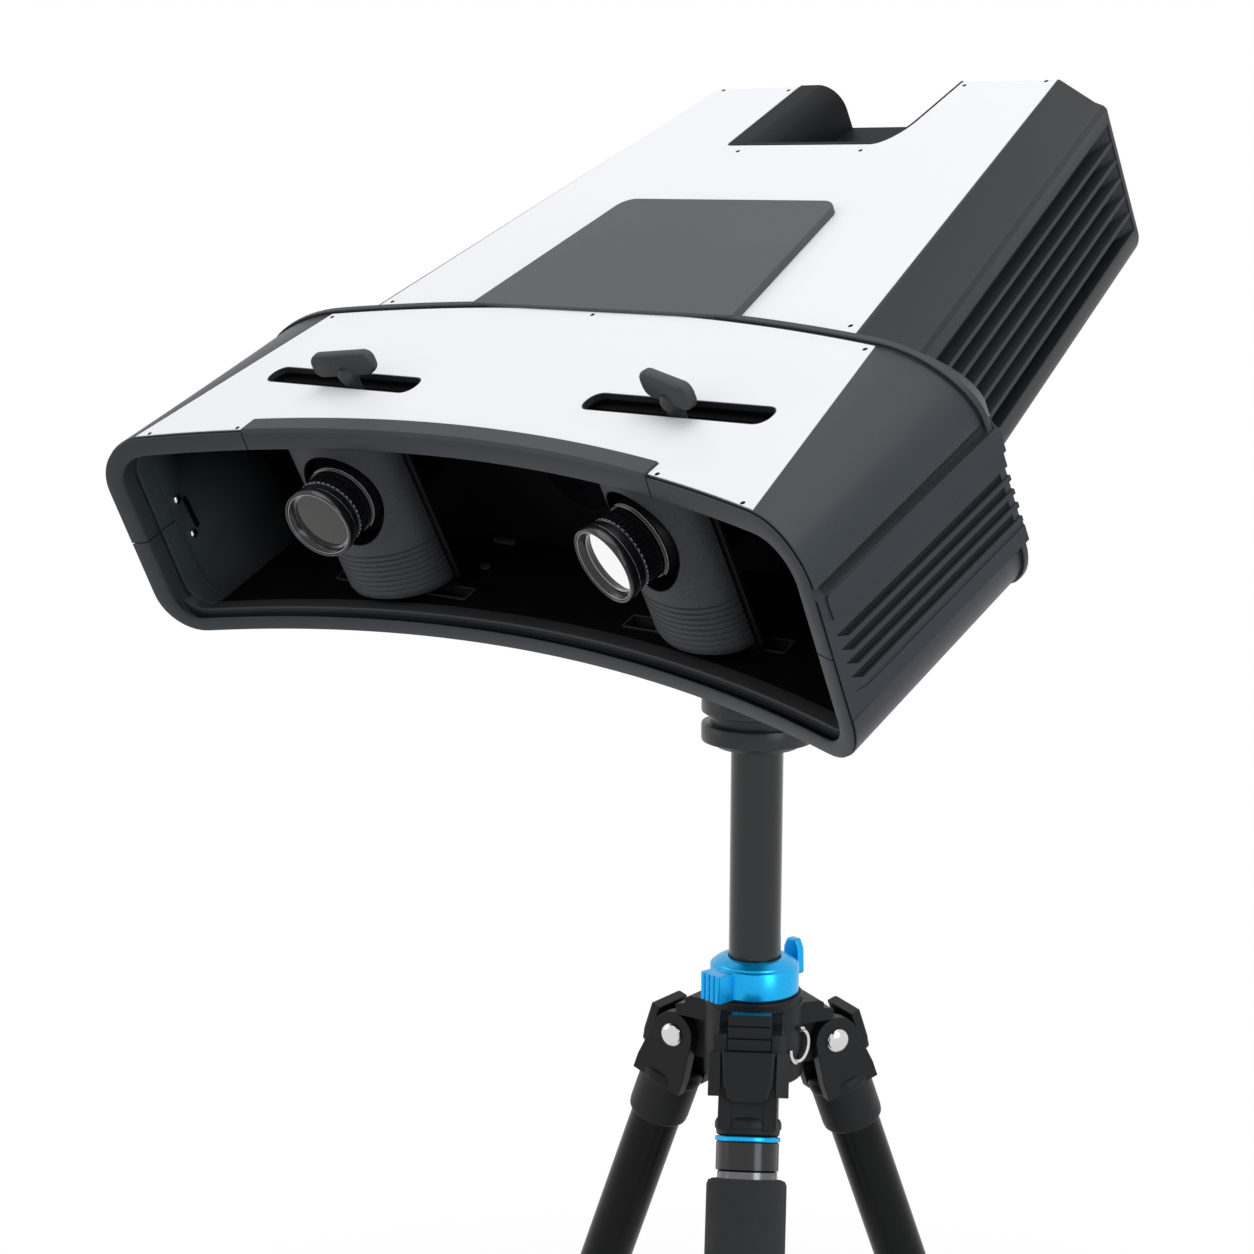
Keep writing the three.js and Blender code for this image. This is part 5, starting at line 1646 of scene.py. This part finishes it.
def arc_band(radius, low, high, first, last):
    """A piece of a thin band round a lens, between two headings in degrees."""
    bm = bmesh.new()
    inner = radius - gap
    outer = radius + mark_rise
    verts = [bm.verts.new((x, 0, z)) for x, z in ((inner, low), (outer, low), (outer, high), (inner, high))]
    face = bm.faces.new(verts)
    bmesh.ops.rotate(bm, verts=verts, cent=(0, 0, 0), matrix=Matrix.Rotation(math.radians(first), 3, "Z"))
    sweep = math.radians(last - first)
    bmesh.ops.spin(bm, geom=[face], axis=(0, 0, 1), cent=(0, 0, 0), angle=sweep, steps=48, use_merge=False)
    bmesh.ops.remove_doubles(bm, verts=bm.verts, dist=merge_distance)
    bmesh.ops.recalc_face_normals(bm, faces=bm.faces)
    return bm


def marks(name, fitted, focus, lens):
    """A white index arc on the barrel, a light line on the front ring and a dashed line on the focus ring."""
    radius = barrel_radius - barrel_waist
    arc = arc_band(radius, barrel_length - index_low, barrel_length - index_high, *index_headings)
    fitted("index_arc", arc, mark_white)
    start = barrel_length + focus_length + 2 * gap
    fitted("ring_line", hoop(front_ring_radius, start, *ring_line), mark_white)
    high = barrel_length + gap + focus_length
    parts = []
    for i in range(dash_count):
        first = 360 * i / dash_count
        last = first + dash_sweep / dash_count
        parts.append(arc_band(focus_radius, high - dash_low, high - dash_high, first, last))
    settled(f"{name}_dashes", joined(*parts), mark_white, focus, lens, edge=0)


def lever(name):
    side, stem = SIDES[name]
    place = pod_frame(side, stem) @ Matrix.Translation((0, stem_offset, 0))
    if side > 0:
        place = place @ Matrix.Rotation(right_lever_turn, 4, "Z")
    centre = paddle_lift + paddle_height / 2
    outline = rounded(paddle_length / 2, paddle_height / 2, paddle_height / 2 * 0.8, 10)
    rings = []
    for y, shrink in paddle_sections:
        ring = [(x * (1 - (1 - shrink) * 0.4), y * paddle_thickness, z * shrink + centre) for x, z in outline]
        rings.append(ring)
    r = stem_radius
    low = -stem_foot
    neck = [(0, low), (r * 2, low), (r * 2, low + stem_flange), (r, low + stem_step)]
    neck += stepped(r, 0, stem_steps)
    neck = spun(neck + [(0, neck[-1][1])], 40)
    whole = joined(lofted(rings), neck)
    node = f"{name}_clamp_lever"
    settled(f"{node}_surface", whole, grey_plastic, f"{name}_lever", place, node, edge=0, angle=50)


# Head, column and clamp
def half_round(radius):
    turns = [math.pi * i / 24 for i in range(25)]
    return [(radius * math.cos(turn), radius * math.sin(turn)) for turn in turns]


def head_base():
    disc = column_top + foot_height
    top = disc + disc_height
    profile = [(0, column_top), (foot_radius - foot_edge, column_top), (foot_radius, column_top + foot_edge)]
    profile += [(foot_radius + foot_flare, disc)] + stepped(disc_radius, disc, disc_low_steps)
    profile += stepped(disc_radius, top, disc_high_steps, -1)
    profile += [(groove_radius, top), (groove_radius, base_top), (0, base_top)]
    settled("head_base_surface", spun(profile, 96), disc_metal, "column", HEAD, "head_base", edge=0, angle=35)


def pan_turret():
    low = base_top + gap
    top = low + turntable_height
    neck = top + turntable_height
    profile = [(0, low)] + stepped(disc_radius, low, table_low_steps)
    profile += stepped(disc_radius, top, table_high_steps, -1)
    profile += [(turret_neck + turret_flare, top), (turret_neck, top + turret_flare)]
    profile += [(turret_neck, neck), (0, neck)]
    base = neck - gap
    half = fork_gap + fork_cheek
    parts = [spun(profile, 96), block((-half, -fork_depth, base), (half, fork_depth, base + fork_floor))]
    outline = [(-fork_depth, base + overlap), (fork_depth, base + overlap)] + half_round(fork_depth)
    for side in (-1, 1):
        parts.append(prism(outline, *sorted((side * fork_gap, side * half))))
    whole = joined(*parts)
    node = "pan_turret"
    settled(f"{node}_surface", whole, disc_metal, "pan_head", HEAD, node, edge=knob_edge, angle=35, segments=3)


def column():
    end = column_top - column_length
    cap = column_top - column_cap
    r = column_radius
    bore = r - column_skin
    profile = [(bore, end), (r - column_edge, end), (r, end + column_edge), (r, column_top - gap)]
    profile += [(0, column_top - gap), (0, cap), (bore, cap), (bore, end)]
    settled("column_surface", spun(profile, 96), column_metal, "column", HEAD, "column", edge=0, angle=35)


def column_collar():
    bore = column_radius + gap
    r = clamp_radius
    profile = [(bore, collar_bottom)] + stepped(r, collar_bottom, clamp_foot_steps)
    profile += stepped(r, collar_top - clamp_cone, clamp_shoulder_steps)
    profile += stepped(clamp_cone_radius, collar_top, clamp_lip_steps, -1)
    profile += [(bore + column_edge, collar_top), (bore, collar_top - column_edge), (bore, collar_bottom)]
    top = collar_bottom + ear_height
    parts = [block((-r - ear_reach, -ear_half, collar_bottom), (-r + ear_root, ear_half, top))]
    low = collar_bottom + ridge_sink
    high = top - ridge_sink
    for i in range(ridge_count):
        ridge = spun([(0, low), (ridge_radius, low), (ridge_radius, high), (0, high)], 16)
        parts.append(moved(ridge, -r - ear_reach, ridge_first + i * ridge_pitch, 0))
    ear = turned(joined(*parts), Matrix.Rotation(ear_heading, 4, "Z"))
    whole = joined(spun(profile, 96), ear)
    node = "column_collar"
    settled(f"{node}_surface", whole, blue_metal, "stand", HEAD, node, edge=soft_edge, angle=35)


def wing_knob():
    joint = JOINTS["column_clamp_turn"]
    along = Vector(joint["axis"])
    reach = clamp_radius + wing_reach
    root = clamp_radius - wing_root
    shaft = spun([(0, root), (wing_shaft_radius, root), (wing_shaft_radius, reach), (0, reach)], 24)
    wing = joined(turned(shaft, ALONG_X), prism(wing_outline, reach - wing_thickness, reach))
    place = Matrix.Translation((0, 0, (joint["pos_m"][2] - trunnion.z) / MM))
    turned(wing, place @ Matrix.Rotation(math.atan2(along.y, along.x), 4, "Z"))
    node = "column_wing_knob"
    look = {"edge": full_edge, "angle": 30, "segments": 3}
    settled(f"{node}_surface", wing, blue_metal, "column_clamp", HEAD, node, **look)


def knobs():
    dressed("pan_knob", rubber, "pan_clamp", knob_edge)
    dressed("tilt_knob", rubber, "tilt_clamp", knob_edge)
    dressed("tilt_cradle", tripod_metal, "scanner", knob_edge)


def crown():
    """The hub with three stepped arms, each with a tongue for its leg's fork."""
    top = crown_top
    low = hinge_level - crown_drop
    shelf = top - arm_drop
    under = shelf - arm_height
    bore = column_radius + gap
    r = crown_radius
    hub = [(bore, low)] + stepped(r, low, hub_foot_steps) + stepped(r, top, hub_rim_steps, -1)
    parts = [spun(hub + [(bore, top), (bore, low)], 72)]
    for name in LEGS:
        across = Vector(JOINTS[f"{name}_leg_fold"]["axis"])
        heading = Matrix.Rotation(math.atan2(across.y, across.x), 4, "Z")
        profile = [(-arm_root, shelf)] + stepped(-arm_reach, shelf, arm_steps, -1)
        arm = prism(profile + [(-arm_reach, under), (-arm_root, under)], -arm_width / 2, arm_width / 2)
        start = (-tongue_half, -hinge_radius, hinge_level - tongue_radius)
        neck = block(start, (tongue_half, -arm_root, under + overlap))
        start = (-tongue_half - overlap, -hinge_radius - overlap, hinge_level + tongue_radius)
        neck = carved(neck, block(start, (tongue_half + overlap, -arm_reach + neck_step, shelf)))
        tongue = [(0, -tongue_half), (tongue_radius, -tongue_half)]
        tongue += [(tongue_radius, tongue_half), (0, tongue_half)]
        tongue = moved(turned(spun(tongue, 40), ALONG_X), 0, -hinge_radius, hinge_level)
        parts += [turned(piece, heading) for piece in (arm, neck, tongue)]
        if name == "front":
            start = (-band_half, -r - inlay_reach, shelf - inlay_sink)
            inlay = block(start, (band_half, -r + inlay_root, shelf + inlay_rise))
            settled("crown_blue_inlay", turned(inlay, heading), blue_metal, "stand", HEAD)
    look = {"edge": full_edge, "angle": 28, "segments": 3}
    settled("crown_surface", joined(*parts), tripod_metal, "stand", HEAD, "crown", **look)


def leg_cheeks(half, depth):
    """The fork's two cheeks, rounded over the bolt and merging into the socket."""
    root = -cheek_length - cheek_root
    widening = -cheek_length + cheek_widening
    outline = [(depth, root), (depth, widening)] + half_round(cheek_radius)
    outline += [(-depth, widening), (-depth, root)]
    start = tongue_half + gap
    return [prism(outline, *sorted((side * start, side * half))) for side in (-1, 1)]


def leg_tube(collar):
    low = -leg_length
    joint = low + twist_length
    bore = lower_radius + gap
    mouth = low + lower_mouth
    profile = [(0, collar), (leg_radius, collar), (leg_radius, joint + overlap)]
    profile += stepped(twist_radius, joint, twist_top_steps, -1)
    profile += stepped(twist_radius, low, twist_foot_steps)
    return spun(profile + [(bore, low), (bore, mouth), (0, mouth)], 72)


def leg_bolt(head):
    r, h = bolt_head_radius, bolt_head_height
    side = [(r * inward, h * rise) for inward, rise in bolt_head_shares]
    profile = [(0, -head - h)] + [(x, -head - z) for x, z in side] + [(bolt_shank, -head), (bolt_shank, head)]
    profile += [(x, head + z) for x, z in reversed(side)] + [(0, head + h)]
    return turned(spun(profile, 48), ALONG_X)


def leg(name):
    place = leg_frame(name)
    body = f"{name}_leg"
    outer = tongue_half + gap + leg_cheek
    s = socket_radius
    collar = -sleeve_start if name == "front" else -cheek_length - socket_length
    top = -cheek_length + socket_rise
    socket = [(0, top)] + stepped(s, top, socket_top_steps, -1) + stepped(s, collar, socket_low_steps)
    socket += [(leg_radius - overlap, collar - socket_lip), (0, collar - socket_lip)]
    settled(f"{name}_leg_tube", leg_tube(collar), tube_metal, body, place, edge=0, angle=40)
    start = (-tongue_half - overlap, -cheek_radius - bridge_rise, top - bridge_drop)
    bridge = block(start, (tongue_half + overlap, -cheek_radius + bridge_root, lock_low + bridge_drop))
    parts = leg_cheeks(outer, s - cheek_inset) + [spun(socket, 72), bridge]
    if name == "front":
        parts += front_block()
        front_trim(place)
    fork = joined(*parts)
    node = f"{name}_leg_upper"
    settled(f"{node}_surface", fork, tripod_metal, body, place, node, edge=broad_edge, angle=40, segments=3)
    node = f"{name}_leg_bolt"
    settled(f"{node}_surface", leg_bolt(outer + gap), polished_steel, "stand", place, node, edge=0)
    dressed(f"{name}_leg_lower", tube_metal, f"{name}_leg_tip")
    dressed(f"{name}_foot", rubber, f"{name}_leg_tip", soft_edge)
    angle_lock(name, place)


def angle_lock(name, place):
    """The sliding cover over the fork's front: a shield shape, left bare."""
    back = -cheek_radius - gap
    half = lock_half
    turn = lock_taper * 1.6
    waist = half - lock_taper * 0.4
    corner = quarter(half - lock_taper - turn, -lock_low - turn, turn, turn, 6)
    shield = [(-half, lock_top), (half, lock_top), (waist, lock_low + 2 * turn)]
    shield += [(x, -z) for x, z in corner] + [(-x, -z) for x, z in reversed(corner)]
    shield.append((-waist, lock_low + 2 * turn))
    face = back - lock_thickness
    levels = ((back, 1), (face + lock_chamfer, 1), (face, 0.92))
    plate = lofted([[(x * share, y, z) for x, z in shield] for y, share in levels])
    node = f"{name}_angle_lock"
    look = {"edge": knob_edge, "angle": 30, "segments": 3}
    settled(f"{node}_surface", plate, tripod_metal, f"{name}_lock", place, node, **look)


def front_block():
    """The front fork's ridged slide with the walls beside it, and the flaps beside its cover."""
    face = -cheek_radius + overlap
    low = lock_top - slide_root
    top = lock_top + slide_length
    step = slide_length / slide_steps
    parts = [block((-slide_half, face, low), (slide_half, -slide_root, top))]
    for i in range(slide_steps):
        high = top - i * step
        depth = slide_depth * (i + 1) / slide_steps
        start = (-slide_half, face - depth, high - step + slide_slit)
        parts.append(block(start, (slide_half, face + overlap, high)))
    near = face - slide_depth * 0.6
    rear = face + wall_root
    for side in (-1, 1):
        inner = side * (slide_half + gap)
        outer = side * (slide_half + wall_width)
        slant = outer - side * wall_slant
        wall = [(inner, near), (slant, near), (outer, face - overlap), (outer, rear), (inner, rear)]
        parts.append(slab(wall, low, lock_top + wall_height))
        inner = side * (lock_half + gap * 2)
        outer = side * flap_half
        rim = -cheek_radius - lock_thickness * 0.7
        root = -cheek_radius + flap_root
        flap = [(inner, rim), (outer, -cheek_radius - overlap), (outer, root), (inner, root)]
        parts.append(slab(flap, lock_low + bridge_drop, lock_top))
    for part in parts:
        bmesh.ops.recalc_face_normals(part, faces=part.faces)
    return parts


def front_trim(place):
    """Blue ring, glossy sleeve and bright ring between the front leg's socket and its foam."""
    bore = leg_radius - trim_bite
    edge = trim_bevel
    for finish, (name, inset, high, low) in zip((blue_metal, sleeve_metal, ring_metal), front_rings):
        radius = socket_radius - inset
        ring = [(bore, -low), (radius - edge, -low), (radius, -low + edge), (radius, -high - edge)]
        ring += [(radius - edge, -high), (bore, -high), (bore, -low)]
        settled(name, spun(ring, 72), finish, "front_leg", place, edge=0)


def foam_grip():
    low = -foam_start - foam_length
    bore = leg_radius + gap
    profile = [(bore, low)] + stepped(foam_radius, low, foam_steps)
    profile += stepped(foam_radius, -foam_start, foam_steps[::-1], -1) + [(bore, -foam_start), (bore, low)]
    place = leg_frame("front")
    settled("foam_grip_surface", spun(profile, 72), foam, "front_leg", place, "foam_grip", edge=0)


def inner_pieces():
    for node, finish, body, edge in (
        # The carriage rail and the bulkhead wear the near-black of painted shade.
        ("carriage_rail", black_and_painted_shade, "scanner", small_edge),
        ("bulkhead", black_and_painted_shade, "scanner", small_edge),
        ("projector_window", dark_glass, "scanner", small_edge),
        ("projector_body", rail_metal, "scanner", small_edge),
        ("control_board", circuit, "scanner", 0),
        ("fan_frame", black_plastic, "scanner", small_edge),
        ("fan_rotor", black_plastic, "fan", rotor_edge),
        ("connector_panel", grey_plastic, "scanner", small_edge),
        ("power_button", grey_plastic, "button", small_edge),
        ("weight_hook", polished_steel, "hook", 0),
    ):
        dressed(node, finish, body, edge)


# Room
def room():
    floor = bmesh.new()
    bmesh.ops.create_grid(floor, x_segments=2, y_segments=2, size=floor_size / 2)
    ground = as_object(floor, "studio_floor")
    paint = Finish("studio_floor", None, **{"Roughness": 0.9})
    paint.wear(Base_Color=paint.blend(paint.noise(8.0), *floor_tones))
    away = paint.measured("LENGTH")
    away = (away * shadow_fade + shadow_share).smaller(1.0)
    glow = paint.node("ShaderNodeEmission", {}, {"Color": (1, 1, 1, 1), "Strength": 1.0})
    paint.feed(paint.output, {"Surface": paint.mixed_shader(paint.seen() * away, paint.shader, glow)})
    ground.data.materials.append(paint.material)

    world = bpy.data.worlds.new("studio")
    bpy.context.scene.world = world
    world.use_nodes = True
    sky = Graph(world.node_tree)
    bright = sky.node("ShaderNodeBackground", {}, {"Color": (1, 1, 1, 1), "Strength": 1.0})
    soft = sky.node("ShaderNodeBackground", {}, {"Color": sky_tint, "Strength": sky_strength})
    surface = sky.mixed_shader(sky.seen(), soft, bright)
    sky.node("ShaderNodeOutputWorld", {}, {"Surface": surface}, output=None)


def softbox(name, place, size, power, colour=(1, 1, 1)):
    lamp = bpy.data.lights.new(name, "AREA")
    lamp.color = colour
    lamp.shape = "RECTANGLE"
    lamp.size, lamp.size_y = size
    lamp.energy = power
    made = bpy.data.objects.new(name, lamp)
    bpy.context.scene.collection.objects.link(made)
    made.location = place
    made.rotation_mode = "QUATERNION"
    made.rotation_quaternion = (Vector(lamp_target) - Vector(place)).to_track_quat("-Z", "Y")


def camera_place():
    lens = bpy.data.cameras.new("camera")
    lens.lens = camera_lens
    lens.sensor_width = camera_sensor
    lens.clip_end = 100
    made = bpy.data.objects.new("camera", lens)
    bpy.context.scene.collection.objects.link(made)
    made.location = trunnion + Vector(camera_from_trunnion)
    made.rotation_euler = camera_turns
    bpy.context.scene.camera = made


camera_place()
for box in softboxes:
    softbox(*box)
room()
hood_pieces()
front_panel()
trim_strip()
lip_strip()
slot_sleeves()
side_pads()
rear_collar()
rear_housing()
vent_grilles()
rear_panel()
cover_plate()
cable_recess()
panel_screws()
bay_walls()
guide_slot_trims()
for pod_name in SIDES:
    camera(pod_name)
    lever(pod_name)
head_base()
pan_turret()
column()
column_collar()
wing_knob()
knobs()
crown()
for leg_name in LEGS:
    leg(leg_name)
foam_grip()
inner_pieces()

bpy.context.scene.view_settings.view_transform = "Standard"
